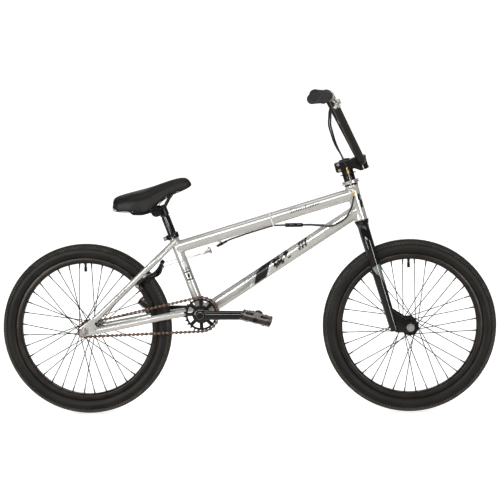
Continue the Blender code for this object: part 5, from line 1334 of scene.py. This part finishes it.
# --------------------------------------------------------------- fork, stem and bars
def build_fork():
    steerer = lathe([(0.0, 0.238), (0.0155, 0.238), (0.0165, 0.2372), (0.0165, 0.2350),
                     (0.0143, 0.2345),
                     (0.0143, 0.0463), (0.0188, 0.0457), (0.0195, 0.0450), (0.0195, 0.0428),
                     (0.0186, 0.0418), (0.0166, 0.0405), (0.0163, 0.0390), (0.0163, 0.0010),
                     (0.0155, 0.0), (0.0, 0.0)], head(0, -0.1060), HEAD_DIR, 56, loop=False)
    piece("fork_crown_tube", "steering", BLACK_GLOSS, [steerer], ["fork_steerer"], True, smooth=35)
    cap_bolt = hex_head(head(0, 0.1318), HEAD_DIR, 0.0066, 0.0024)
    piece("headset_cap_bolt", "steering", STEEL, [cap_bolt], (), True)
    on_crown = (HEAD_MIDDLE, HEAD_DIR, 0.0163)
    welds = []
    for side in (-1, 1):
        path = curved([head(0.0, -0.0700, side * 0.0120), head(0.0, -0.0860, side * 0.0310),
                       head(0.0, -0.1080, side * 0.0430), head(0.0010, -0.1400, side * 0.0480),
                       head(0.0045, -0.3856, side * 0.0500)], 0.06, 8)
        leg = sweep(path, evenly(path, (0.0160, 0.0115)), 44)
        drop = plate([front_dropout()], 0.0050, side_view(FRONT_AXLE + Y * side * 0.0525), 0.0006)
        piece(name_on("fork_leg_paint", side), "steering", BLACK_GLOSS, [leg, drop],
              [name_on("fork_leg", side)], True, smooth=40)
        way = (path[0] - path[3]).normalized()
        start = path[3]
        loop = [onto_cylinder(start + offset - way * 0.01, way, on_crown)
                for offset in circle_around(way, 0.0158, 44)]
        welds.append(weld(loop, 0.0017))
        foot = path[-1]
        down = (path[-1] - path[-2]).normalized()
        welds.append(weld([foot - down * 0.0008 + offset
                           for offset in circle_around(down, 0.0113, 36)], 0.0014))
    piece("fork_welds", "steering", BLACK_GLOSS, welds, (), True, smooth=70)


def front_dropout():
    """The fork's dropout: a wedge from the leg to a round end, its slot open forward."""
    outline = arc(0.0051, 270, 90, 14) + arc(0.0142, 21, 75, 8)
    outline += [(-0.0490, 0.0480), (-0.0558, 0.0466), (-0.0500, -0.0090), (-0.0400, -0.0138)]
    outline += arc(0.0142, -90, -21, 10)
    return outline


def head_plane():
    """A matrix with local X along the stem and local Y up the steering axis."""
    matrix = Matrix((HEAD_FORWARD, HEAD_DIR, -Y)).transposed().to_4x4()
    return Matrix.Translation(HEAD_MIDDLE) @ matrix


def build_stem():
    low, high = 0.0986, 0.1280
    outline = [(-0.0320, low + 0.004), (-0.0290, low), (0.0210, low), (0.0330, 0.0900),
               (0.0375, 0.0870), (0.0465, 0.0870), (0.0465, high + 0.0010),
               (0.0300, high + 0.0010),
               (0.0200, high), (-0.0280, high), (-0.0320, high - 0.004)]
    notch_back = arc(0.0113, 100, 260, 14, centre=(BAR_FORWARD, BAR_ALONG))
    notch_back = [spot for spot in reversed(notch_back) if spot[0] < 0.0465]
    outline = outline[:6] + notch_back + outline[6:]
    shapes = [plate([outline], 0.0506, head_plane(), 0.0012)]
    piece("stem_block", "steering", BLACK_SATIN, shapes, ["stem_body"], True, smooth=35)
    piece("stem_rear_slit", "steering", BLACK_GLOSS,
          [block(head(-0.0318, 0.1133), (0.0022, 0.0012, 0.0262), HEAD_DIR, Y)], (), True,
          bevel=0.0002)
    front = [(0.0485, 0.0880), (0.0580, 0.0880), (0.0605, 0.0892), (0.0617, 0.0920),
             (0.0617, 0.1250),
             (0.0605, 0.1278), (0.0580, 0.1290), (0.0485, 0.1290)]
    notch = [spot for spot in arc(0.0113, 80, -80, 14, centre=(BAR_FORWARD, BAR_ALONG))
             if spot[0] > 0.0485]
    shapes = [plate([front + notch], 0.0506, head_plane(), 0.0012)]
    piece("stem_front_plate", "steering", BLACK_SATIN, shapes, ["stem_faceplate"], True, smooth=35)
    bolts = []
    for along in (0.0930, 0.1240):
        for across in (-0.0185, 0.0185):
            bolts.append(hex_head(head(0.0612, along, across), HEAD_FORWARD, 0.0042, 0.0024))
    for along in (0.1045, 0.1215):
        bolts.append(hex_head(head(-0.0220, along, -0.0250), -Y, 0.0042, 0.0022))
        bolts.append(hex_head(head(-0.0220, along, 0.0250), Y, 0.0042, 0.0022))
    piece("stem_bolts", "steering", STEEL, bolts, (), True, smooth=30)
    grooves = []
    for way in (-1, 1):
        path = [head(-0.0285, 0.1133, way * 0.0255), head(0.0440, 0.1133, way * 0.0255)]
        grooves.append(sweep(path, 0.0008, 8))
    piece("stem_side_ribs", "steering", BLACK_SATIN, grooves, (), True)


def flip(point, side):
    return Vector((point.x, side * point.y, point.z))


def along_grip(across, side):
    share = (across - BAR_HIGH.y) / (GRIP_END.y - BAR_HIGH.y)
    return flip(BAR_HIGH.lerp(GRIP_END, share), side)


def build_bars():
    corners = [along_grip(0.3520, -1), flip(BAR_HIGH, -1), flip(BAR_LOW, -1), flip(BAR_LOW, 1),
               flip(BAR_HIGH, 1), along_grip(0.3520, 1)]
    path = curved(corners, [0.030, 0.022, 0.022, 0.030], 14)
    piece("handlebar_tube", "steering", BLACK_GLOSS, [sweep(path, 0.0111, 40)], ["handlebar"],
          True,
          smooth=50)
    ends = [flip(BAR_LOW, side).lerp(flip(BAR_HIGH, side), 0.62) for side in (-1, 1)]
    legs = [(flip(BAR_LOW, side), (flip(BAR_HIGH, side) - flip(BAR_LOW, side)).normalized(),
             0.0111)
            for side in (-1, 1)]
    cross, first, last = pipe(ends, 0.0085, 36, legs[0], legs[1])
    piece("crossbar_tube", "steering", BLACK_GLOSS, [cross], ["crossbar"], True, smooth=50)
    piece("crossbar_welds", "steering", BLACK_GLOSS, [weld(first, 0.0013), weld(last, 0.0013)], (),
          True,
          smooth=70)
    for side in (-1, 1):
        out = (along_grip(0.355, side) - along_grip(0.2, side)).normalized()
        start = along_grip(0.230, side)
        length = (along_grip(0.3560, side) - start).length
        inside = (along_grip(0.3520, side) - start).length + 0.0003
        profile = [(0.0, length), (0.0120, length), (0.0140, length - 0.0008),
                   (0.0160, length - 0.0018),
                   (0.0165, length - 0.0030), (0.0165, length - 0.0060), (0.0158, length - 0.0075)]
        ribs = 24
        top, bottom = length - 0.0090, 0.0085
        for index in range(ribs):
            here = top - (top - bottom) * index / ribs
            step = (top - bottom) / ribs
            profile += [(0.0148, here), (0.0148, here - 0.30 * step), (0.0157, here - 0.45 * step),
                        (0.0157, here - 0.80 * step)]
        profile += [(0.0150, bottom), (0.0152, 0.0055), (0.0170, 0.0038), (0.0175, 0.0028),
                    (0.0175, 0.0006), (0.0169, 0.0), (0.0114, 0.0), (0.0114, inside),
                    (0.0, inside)]
        piece(name_on("grip_rubber", side), "steering", GRIP,
              [lathe(profile, start, out, 56, loop=False)], [name_on("grip", side)], True,
              smooth=32)
        tip = start + out * length
        plug = [(0.0, 0.0006), (0.0035, 0.0008), (0.0050, 0.0003), (0.0085, 0.0003),
                (0.0095, 0.0008),
                (0.0128, 0.0008), (0.0140, 0.0), (0.0140, -0.0008), (0.0, -0.0008)]
        piece(name_on("grip_end_plug", side), "steering", GRIP_END_BLACK,
              [lathe(plug, tip, out, 48, loop=False)], (), True, smooth=32)


def lever_frame():
    centre = along_grip(0.2050, -1)
    outward = (along_grip(0.33, -1) - along_grip(0.22, -1)).normalized()
    drop = math.radians(36.0)
    lead = Vector((math.cos(drop), 0.0, -math.sin(drop)))
    reach = (lead - outward * lead.dot(outward)).normalized()
    return centre, outward, reach, outward.cross(reach).normalized()


def build_lever():
    centre, outward, reach, hinge = lever_frame()
    pivot = centre + reach * 0.0330
    ring = lathe([(0.0114, 0.0060), (0.0146, 0.0060), (0.0155, 0.0052), (0.0155, -0.0052),
                  (0.0146, -0.0060), (0.0114, -0.0060)], centre, outward, 48)
    shapes = [ring]
    for way in (-1, 1):
        plate_middle = hinge * way * 0.0046
        flat = Matrix((reach, outward, hinge)).transposed().to_4x4()
        if flat.determinant() < 0:
            flat = Matrix((reach, outward, -hinge)).transposed().to_4x4()
        outline = [(0.0130, -0.0056), (0.0330, -0.0060)]
        outline += arc(0.0084, -60, 90, 10, centre=(0.0330, 0.0))
        outline += [(0.0130, 0.0056)]
        shapes.append(plate([outline], 0.0030, Matrix.Translation(centre + plate_middle) @ flat,
                            0.0006))
    shapes.append(block(centre + reach * 0.0165, (0.0112, 0.0110, 0.0090), reach, outward))
    barrel = [(0.0, 0.0230), (0.0030, 0.0230), (0.0042, 0.0222)]
    for ring_index in range(6):
        barrel += [(0.0042, 0.0212 - ring_index * 0.0014), (0.0038, 0.0205 - ring_index * 0.0014)]
    barrel += [(0.0042, 0.0125), (0.0042, 0.0118), (0.0034, 0.0112), (0.0034, 0.0040),
               (0.0, 0.0040)]
    shapes.append(lathe(barrel, centre + reach * 0.0240, -outward, 28, loop=False))
    piece("lever_clamp", "steering", ZINC, shapes, ["brake_lever_bracket"], True, bevel=0.0004,
          smooth=35)
    bolts = [hex_head(pivot + hinge * way * 0.0060, hinge * way, 0.0040, 0.0017)
             for way in (-1, 1)]
    bolts.append(hex_head(centre - reach * 0.0130 + hinge * 0.0070, hinge, 0.0034, 0.0022))
    piece("lever_bolts", "steering", STEEL, bolts, (), True, smooth=30)

    route = curved([pivot + outward * 0.002, pivot + outward * 0.020 + reach * 0.012,
                    pivot + outward * 0.050 + reach * 0.019,
                    pivot + outward * 0.085 + reach * 0.017,
                    pivot + outward * 0.105 + reach * 0.022], 0.03, 8)
    count = len(route) - 1
    radii = [0.0034 - 0.0006 * math.sin(math.pi * i / count) for i in range(count + 1)]
    blade = sweep(route, radii, 24)
    hub_part = lathe([(0.0027, 0.0026), (0.0064, 0.0026), (0.0070, 0.0020), (0.0070, -0.0020),
                      (0.0064, -0.0026), (0.0027, -0.0026)], pivot, hinge, 36)
    tip = lathe([(0.0, 0.0040), (0.0036, 0.0040), (0.0050, 0.0026), (0.0050, -0.0026),
                 (0.0036, -0.0040),
                 (0.0, -0.0040)], route[-1], hinge, 28, loop=False)
    piece("lever_blade", "lever", ZINC, [blade, hub_part, tip], ["brake_lever"], True, smooth=40)


# -------------------------------------------------------------------------- cables
def ferrule(at, toward, length=0.0100, radius=0.0031):
    """A crimped metal end on a housing."""
    return lathe([(0.0, length), (0.0026, length), (radius, length - 0.0006),
                  (radius, length * 0.62),
                  (radius - 0.0004, length * 0.58), (radius - 0.0004, length * 0.42),
                  (radius, length * 0.38), (radius, 0.0006), (radius - 0.0005, 0.0), (0.0, 0.0)],
                 at, toward, 20, loop=False)


def adjuster_shape(low, high, across):
    """A knurled brass barrel between two heights on the steering axis."""
    length = high - low
    profile = [(0.0014, length), (0.0026, length), (0.0030, length - 0.0010),
               (0.0030, length * 0.52)]
    for ring in range(4):
        here = length * 0.50 - ring * length * 0.075
        profile += [(0.0036, here), (0.0036, here - length * 0.045),
                    (0.0032, here - length * 0.055)]
    profile += [(0.0030, length * 0.18), (0.0030, 0.0), (0.0014, 0.0)]
    return lathe(profile, head(0, low, across), HEAD_DIR, 24)


def build_cables():
    centre, outward, reach, _ = lever_frame()
    barrel_end = centre + reach * 0.0240 - outward * 0.0233
    fork_point = Vector((0.2650, -0.1280, 0.9120))
    lead = curved([barrel_end, barrel_end - outward * 0.008,
                   barrel_end - outward * 0.026 + Vector((0.0, 0.0, 0.004)), fork_point], 0.02, 10)
    runs = [sweep(lead, HOUSING_RADIUS, 18)]
    fittings = [ferrule(barrel_end + outward * 0.0004, -outward)]
    for side in (-1, 1):
        top = head(0, 0.1060, side * CABLE_ACROSS)
        route = curved([fork_point + Vector((0.0, side * 0.0022, 0.0)),
                        Vector((0.2540 + side * 0.0022, -0.1050 + side * 0.0040, 0.8900)),
                        Vector((0.2525 + side * 0.0034, -0.0500 + side * 0.0200, 0.8450)),
                        Vector((0.2690 + side * 0.0030, side * 0.0330, 0.7900)),
                        head(-0.0030, 0.1400, side * 0.0318), top],
                       0.08, 12)
        runs.append(sweep(route, HOUSING_RADIUS, 18))
        fittings.append(adjuster_shape(0.0888, 0.1080, side * CABLE_ACROSS))
        runs.append(ferrule(head(0, 0.1070, side * CABLE_ACROSS), HEAD_DIR, 0.0090))
    piece("upper_cable_housings", "steering", HOUSING, runs, ["upper_brake_cable"], True,
          smooth=50)
    piece("upper_cable_fittings", "steering", BRASS, fittings, (), True, smooth=35)
    low = fork_point + Vector((-0.003, 0.010, -0.004))
    high = fork_point + Vector((0.003, -0.010, 0.004))
    piece("upper_cable_splitter", "steering", HOUSING, [rod(low, high, 0.0050, 28, 0.0009)], (),
          True)

    split_rear, split_front = Vector((0.1180, 0.0, 0.5546)), Vector((0.1710, 0.0, 0.5546))
    runs, fittings = [], []
    for side in (-1, 1):
        bottom = head(0, 0.0235, side * CABLE_ACROSS)
        route = curved([bottom, Vector((0.3165, side * 0.0305, 0.6100)),
                        Vector((0.2980, side * 0.0300, 0.5720)),
                        Vector((0.2587, side * 0.0262, 0.5520)),
                        Vector((0.2250, side * 0.0150, 0.5520)),
                        Vector((0.1960, side * 0.0045, 0.5546)),
                        split_front + Vector((-0.005, side * 0.003, 0))], 0.05, 12)
        runs.append(sweep(route, HOUSING_RADIUS, 18))
        fittings.append(adjuster_shape(0.0215, 0.0377, side * CABLE_ACROSS))
    drop = Vector((TT_AXIS.z, 0.0, -TT_AXIS.x)) * (TT_RADIUS + 0.0031)
    rear_run = curved([split_rear + Vector((0.004, 0, 0)), split_rear - Vector((0.012, 0, 0)),
                       TOP_TUBE[0] + TT_AXIS * 0.290 + drop, TOP_TUBE[0] + TT_AXIS * 0.205 + drop,
                       CABLE_STOP + WIRE_DIR * 0.022, CABLE_STOP], 0.06, 14)
    runs.append(sweep(rear_run, HOUSING_RADIUS, 18))
    piece("lower_cable_housings", "frame", HOUSING, runs, ["lower_brake_cable"], smooth=50)
    piece("lower_cable_fittings", "frame", BRASS, fittings, smooth=35)
    barrel = lathe([(0.0, 0.0530), (0.0040, 0.0530), (0.0056, 0.0518), (0.0060, 0.0500),
                    (0.0060, 0.0390),
                    (0.0056, 0.0380), (0.0060, 0.0370), (0.0060, 0.0160), (0.0056, 0.0150),
                    (0.0060, 0.0140), (0.0060, 0.0030), (0.0056, 0.0012), (0.0040, 0.0),
                    (0.0, 0.0)],
                   split_rear, Vector((1, 0, 0)), 36, loop=False)
    piece("lower_cable_splitter", "frame", BLACK_GLOSS, [barrel], smooth=35)
    piece("rear_housing_ferrule", "frame", BLACK_SATIN,
          [ferrule(CABLE_STOP + WIRE_DIR * 0.0003, WIRE_DIR, 0.0130, 0.0036)], smooth=35)
    ring = []
    centre_at = TOP_TUBE[0] + TT_AXIS * STRAP_ALONG
    for offset in circle_around(TT_AXIS, 1.0, 64):
        low_part = max(0.0, -offset.z)
        ring.append(centre_at + offset * (TT_RADIUS + 0.0006 + 0.0052 * low_part ** 6))
    band = [sweep(ring, 0.0022, 8, (0.28, 1.0), tuple(ring[0] - centre_at), loop=True)]
    piece("cable_tie_band", "frame", PALE_INK, band, smooth=60)


# ---------------------------------------------------------------------- rear brake
def build_brake():
    layers = {-1: (0.0120, 0.0200), 1: (0.0212, 0.0292)}
    for side in (-1, 1):
        low, high = layers[side]
        middle = (low + high) / 2
        pivot = Vector((0.0, side * BRAKE_POST_ACROSS))
        tip = Vector((0.0560, -side * 0.0320))
        foot = Vector((-0.0350, side * 0.0370))
        body = ("right" if side < 0 else "left") + "_brake_arm"
        shapes = []
        for end, wide, bow in ((tip, (0.0088, 0.0054), 0.0105), (foot, (0.0082, 0.0062), 0.0)):
            path = []
            for index in range(15):
                share = index / 14
                spot = pivot.lerp(end, share)
                path.append(brake(spot.x, middle + bow * math.sin(math.pi * share), spot.y))
            shapes.append(sweep(path, evenly(path, wide), 18, (0.94, 0.66)))
        hub_part = lathe([(0.0043, high + 0.001), (0.0092, high + 0.001), (0.0101, high + 0.0001),
                          (0.0101, low + 0.0054), (0.0092, low + 0.0045), (0.0043, low + 0.0045)],
                          brake(0, 0, side * BRAKE_POST_ACROSS), STAY_OUT, 36)
        anchor = lathe([(0.0, high + 0.003), (0.0056, high + 0.003), (0.0065, high + 0.0022),
                        (0.0065, low + 0.0006), (0.0058, low), (0.0, low)],
                       brake(0.0560, 0, -side * 0.0320), STAY_OUT, 28, loop=False)
        base = brake(-0.0350, middle, side * 0.0370) + STAY_OUT * 0.0030
        holder = rod(base - Y * side * 0.0054, base + Y * side * 0.0060, 0.0070, 28, 0.0008)
        piece(name_on("brake_arm_casting", side), body, BLACK_GLOSS,
              shapes + [hub_part, anchor, holder],
              [name_on("brake_arm", side)], smooth=38)
        coil = []
        for step in range(150):
            angle = 2 * math.pi * step / 24
            coil.append(brake(0, low - 0.0012 - 0.0012 * step / 24 * 0.9, side * BRAKE_POST_ACROSS)
                        + STAY_DIR * 0.0078 * math.cos(angle) + Y * 0.0078 * math.sin(angle))
        piece(name_on("brake_spring", side), body, STEEL, [sweep(coil, 0.0006, 6)])
        pad_in, pad_out = side * 0.0178, side * 0.0280
        centre = brake(-0.0350, 0.0100, (pad_in + pad_out) / 2)
        pad = block(centre, (abs(pad_out - pad_in), 0.0100, 0.0500), STAY_OUT, Y)
        stud = rod(brake(-0.0350, 0.0100, pad_out - side * 0.004),
                   brake(-0.0350, 0.0100, side * 0.0312),
                   0.0030, 20)
        piece(name_on("brake_pad_block", side), body, PAD, [pad], [name_on("brake_pad", side)],
              bevel=0.0016)
        nut = hex_nut(base + Y * side * 0.0058, Y * side, 0.0052, 0.0034)
        piece(name_on("brake_pad_stud", side), body, STEEL, [stud, nut])
        clamp = hex_nut(brake(0.0560, high + 0.0028, -side * 0.0320), STAY_OUT, 0.0048, 0.0026)
        piece(name_on("brake_wire_bolt", side), body, STEEL, [clamp])


def build_hanger():
    yoke_end = HANGER_AT - WIRE_DIR * 0.0240
    disc = lathe([(0.0, 0.0025), (0.0100, 0.0025), (0.0110, 0.0018), (0.0110, -0.0018),
                  (0.0100, -0.0025),
                  (0.0, -0.0025)], HANGER_AT, WIRE_DIR, 40, loop=False)
    neck = lathe([(0.0, 0.0240), (0.0050, 0.0240), (0.0055, 0.0225), (0.0048, 0.0160),
                  (0.0034, 0.0070),
                  (0.0031, 0.0), (0.0, 0.0)], yoke_end, WIRE_DIR, 28, loop=False)
    bolt = hex_head(HANGER_AT - WIRE_DIR * 0.0100 + Y * -0.0030, -Y, 0.0034, 0.0020)
    shapes = [disc, neck, bolt, rod(HANGER_AT, CABLE_STOP - WIRE_DIR * 0.0080, 0.0008, 10)]
    tops = {-1: 0.0200, 1: 0.0292}
    for side in (-1, 1):
        tip = brake(0.0575, tops[-side] + 0.0013, side * 0.0398)
        shapes.append(rod(yoke_end + WIRE_DIR * 0.004, tip, 0.0008, 10))
        shapes.append(rod(tip - Y * side * 0.0012, tip + Y * side * 0.0012, 0.0016, 12, 0.0003))
    piece("straddle_hanger", "hanger", STEEL, shapes, ["cable_hanger"], smooth=35)


# ------------------------------------------------------------------ painted shapes
def build_graphics():
    """Generic painted shapes: a leaning wedge with streaks, strokes, and a chevron."""
    ink = [[(0.175, -52), (0.217, -52), (0.241, 18), (0.193, 18)],
           [(0.193, 18), (0.241, 18), (0.266, 76), (0.222, 76)]]
    grey, pale = [], [[(0.158, -52), (0.165, -52), (0.201, 68), (0.194, 68)],
                      [(0.220, -52), (0.225, -52), (0.274, 78), (0.269, 78)]]
    for index in range(12):
        low = 0.126 + index * 0.0050
        wide = 0.0009 + 0.00026 * index
        grey.append([(low, -22), (low + wide, -22), (low + wide + 0.026, 64), (low + 0.026, 64)])
    flakes = random.Random(7)
    for index in range(64):
        along = 0.252 + 0.050 * flakes.random()
        level = -30 + 104 * flakes.random() + 420 * (along - 0.277)
        long = 0.0030 + 0.0085 * flakes.random()
        tall = 7 + 18 * flakes.random()
        corners = [(along, level), (along + long, level), (along + long + 0.004, level + tall),
                   (along + 0.003, level + tall)]
        (ink if index % 4 else grey).append(corners)
    for base in (0.3430, 0.3530, 0.3640):
        ink.append([(base, -12), (base + 0.0050, -12), (base + 0.0165, 74), (base + 0.0115, 74)])
    for level, first, last in ((8, 0.3420, 0.3740), (42, 0.3470, 0.3800)):
        ink.append([(first, level), (last, level), (last + 0.001, level + 12),
                    (first + 0.001, level + 12)])
    decal("down_tube_ink", INK, DOWN_TUBE[0], DT_AXIS, DT_RADIUS, ink)
    decal("down_tube_streaks", GREY_INK, DOWN_TUBE[0], DT_AXIS, DT_RADIUS, grey)
    decal("down_tube_pale", PALE_INK, DOWN_TUBE[0], DT_AXIS, DT_RADIUS, pale)
    strokes = []
    for index in range(12):
        base = 0.350 + index * 0.0074
        tall = (46, 24, 30, 20, 26, 20, 38, 22, 26, 30, 20, 28)[index]
        strokes.append([(base, -6), (base + 0.0024, -6), (base + 0.0060, -4 + tall),
                        (base + 0.0040, -4 + tall)])
        strokes.append([(base + 0.0010, -6), (base + 0.0060, 8), (base + 0.0064, 13),
                        (base + 0.0010, 2)])
    strokes.append([(0.346, 38), (0.368, 42), (0.368, 45), (0.346, 41)])
    decal("top_tube_ink", INK, TOP_TUBE[0], TT_AXIS, TT_RADIUS, strokes)
    marks = [[(0.104, -26), (0.132, -26), (0.132, -18), (0.104, -18)],
             [(0.104, 44), (0.132, 44), (0.132, 52), (0.104, 52)],
             [(0.104, -26), (0.108, -26), (0.108, 52), (0.104, 52)],
             [(0.128, -26), (0.132, -26), (0.132, 52), (0.128, 52)],
             [(0.112, -6), (0.124, 4), (0.124, 32), (0.112, 20)],
             [(0.136, -26), (0.138, -26), (0.138, 52), (0.136, 52)],
             [(0.141, -26), (0.1425, -26), (0.1425, 52), (0.141, 52)]]
    decal("seat_tube_ink", INK, BB, SEAT_DIR, ST_RADIUS, marks)
    flashes = [[(0.026, 34), (0.022, 60), (0.004, 42), (0.006, 22)],
               [(0.010, 42), (0.002, 70), (-0.018, 54), (-0.016, 24)]]
    decal("head_tube_ink", INK, HEAD_MIDDLE, HEAD_DIR, HT_RADIUS, flashes)
    for side in (-1, 1):
        top, foot = head(0.0010, -0.1400, side * 0.0480), head(0.0045, -0.3856, side * 0.0500)
        way = (foot - top).normalized()
        decal(name_on("fork_chevron", side), GREEN_GREY, top, way, 0.01425,
              [[(0.052, -52), (0.049, -10), (0.082, 20), (0.071, -18)],
               [(0.049, -10), (0.045, 58), (0.112, 62), (0.082, 20)]],
              "steering", True, (side,))
        low, high = rear(0.0336, 0.0348, side * 0.0580), rear(0.1476, 0.1414, side * 0.0440)
        way = (high - low).normalized()
        dashes = [[(0.086 + 0.0052 * i, -14), (0.0885 + 0.0052 * i, -14),
                   (0.0895 + 0.0052 * i, 20),
                   (0.0870 + 0.0052 * i, 20)] for i in (0, 1, 2, 4, 5, 7)]
        decal(name_on("seatstay_dashes", side), INK, low, way, 0.00842, dashes, sides=(side,))


# ------------------------------------------------------------- camera, light, floor
def build_camera():
    yaw, pitch, roll = 0.0855, -0.0937, -0.0220
    forward = Vector((-math.sin(yaw) * math.cos(pitch), math.cos(yaw) * math.cos(pitch),
                      math.sin(pitch)))
    level = forward.cross(Vector((0, 0, 1))).normalized()
    upright = level.cross(forward)
    right = level * math.cos(roll) + upright * math.sin(roll)
    up = upright * math.cos(roll) - level * math.sin(roll)
    data = bpy.data.cameras.new("view")
    data.sensor_width = 36.0
    data.lens = 116.2
    camera = bpy.data.objects.new("view", data)
    turn = Matrix((right, up, -forward)).transposed().to_4x4()
    camera.matrix_world = Matrix.Translation((0.4175, -4.7126, 0.9272)) @ turn
    bpy.context.scene.collection.objects.link(camera)
    bpy.context.scene.camera = camera


def lamp(name, at, target, size, power, glossy_only=False):
    data = bpy.data.lights.new(name, "AREA")
    data.shape = "RECTANGLE"
    data.size, data.size_y = size
    data.energy = power
    light = bpy.data.objects.new(name, data)
    way = (Vector(target) - Vector(at)).normalized()
    light.matrix_world = Matrix.Translation(at) @ way.to_track_quat("-Z", "Y").to_matrix().to_4x4()
    light.visible_diffuse = not glossy_only
    bpy.context.scene.collection.objects.link(light)


def build_stage():
    mesh = bpy.data.meshes.new("floor")
    wide, back, rise = 14.0, 7.0, 6.0
    profile = [(-9.0, 0.0)] + [(back - 2.0 + 2.0 * math.sin(a), 2.0 - 2.0 * math.cos(a))
                               for a in [math.pi / 2 * i / 16 for i in range(17)]] + [(back, rise)]
    verts = [(x, y, z - 0.0002) for x in (-wide, wide) for y, z in profile]
    count = len(profile)
    faces = [(i, count + i, count + i + 1, i + 1) for i in range(count - 1)]
    mesh.from_pydata(verts, [], faces)
    mesh.shade_smooth()
    floor = bpy.data.objects.new("floor", mesh)
    material, nodes, links = new_material("floor_white")
    shader = nodes["Principled BSDF"]
    cloud = noise_of(nodes, links, 2.0)
    links.new(ramp_of(nodes, links, cloud.outputs["Fac"], (0.93, 0.93, 0.93), (0.96, 0.96, 0.96)),
              shader.inputs["Base Color"])
    shader.inputs["Roughness"].default_value = 0.9
    shader.inputs["Emission Color"].default_value = (1.0, 1.0, 1.0, 1.0)
    shader.inputs["Emission Strength"].default_value = 0.70
    mesh.materials.append(material)
    bpy.context.scene.collection.objects.link(floor)
    floor.visible_glossy = False
    lamp("key", (-1.2, -4.4, 2.7), (0, 0, 0.45), (3.2, 0.4), 82)
    lamp("strip_left", (-2.7, -3.6, 1.3), (0.1, 0, 0.5), (0.42, 2.6), 80, True)
    lamp("strip_right", (3.0, -3.4, 1.3), (0.2, 0, 0.5), (0.42, 2.6), 80, True)
    lamp("top", (0.0, -0.4, 4.2), (0, 0, 0.3), (4.0, 1.2), 34)
    lamp("back", (0.4, 3.6, 2.6), (0, 0, 0.5), (4.0, 1.0), 30)
    world = bpy.data.worlds.new("studio")
    world.use_nodes = True
    nodes, links = world.node_tree.nodes, world.node_tree.links
    place = nodes.new("ShaderNodeTexCoord")
    split = nodes.new("ShaderNodeSeparateXYZ")
    links.new(place.outputs["Generated"], split.inputs["Vector"])
    height = nodes.new("ShaderNodeMapRange")
    height.inputs["From Min"].default_value = -1.0
    links.new(split.outputs["Z"], height.inputs["Value"])
    ramp = nodes.new("ShaderNodeValToRGB")
    stops = ramp.color_ramp.elements
    stops[0].position, stops[0].color = 0.0, (0.42, 0.385, 0.34, 1.0)
    stops[1].position, stops[1].color = 1.0, (0.10, 0.10, 0.10, 1.0)
    for position, shade in ((0.40, (0.46, 0.425, 0.38, 1.0)), (0.52, (0.19, 0.19, 0.185, 1.0)),
                            (0.70, (0.12, 0.12, 0.12, 1.0))):
        stops.new(position).color = shade
    links.new(height.outputs["Result"], ramp.inputs["Fac"])
    links.new(ramp.outputs["Color"], nodes["Background"].inputs["Color"])
    nodes["Background"].inputs["Strength"].default_value = 1.0
    bpy.context.scene.world = world
    bpy.context.scene.view_settings.view_transform = "Standard"


build_camera()
build_stage()
build_frame()
build_wheels()
build_chainring()
build_chain()
build_cranks()
build_cog()
build_seat()
build_headset()
build_fork()
build_stem()
build_bars()
build_lever()
build_cables()
build_brake()
build_hanger()
build_graphics()
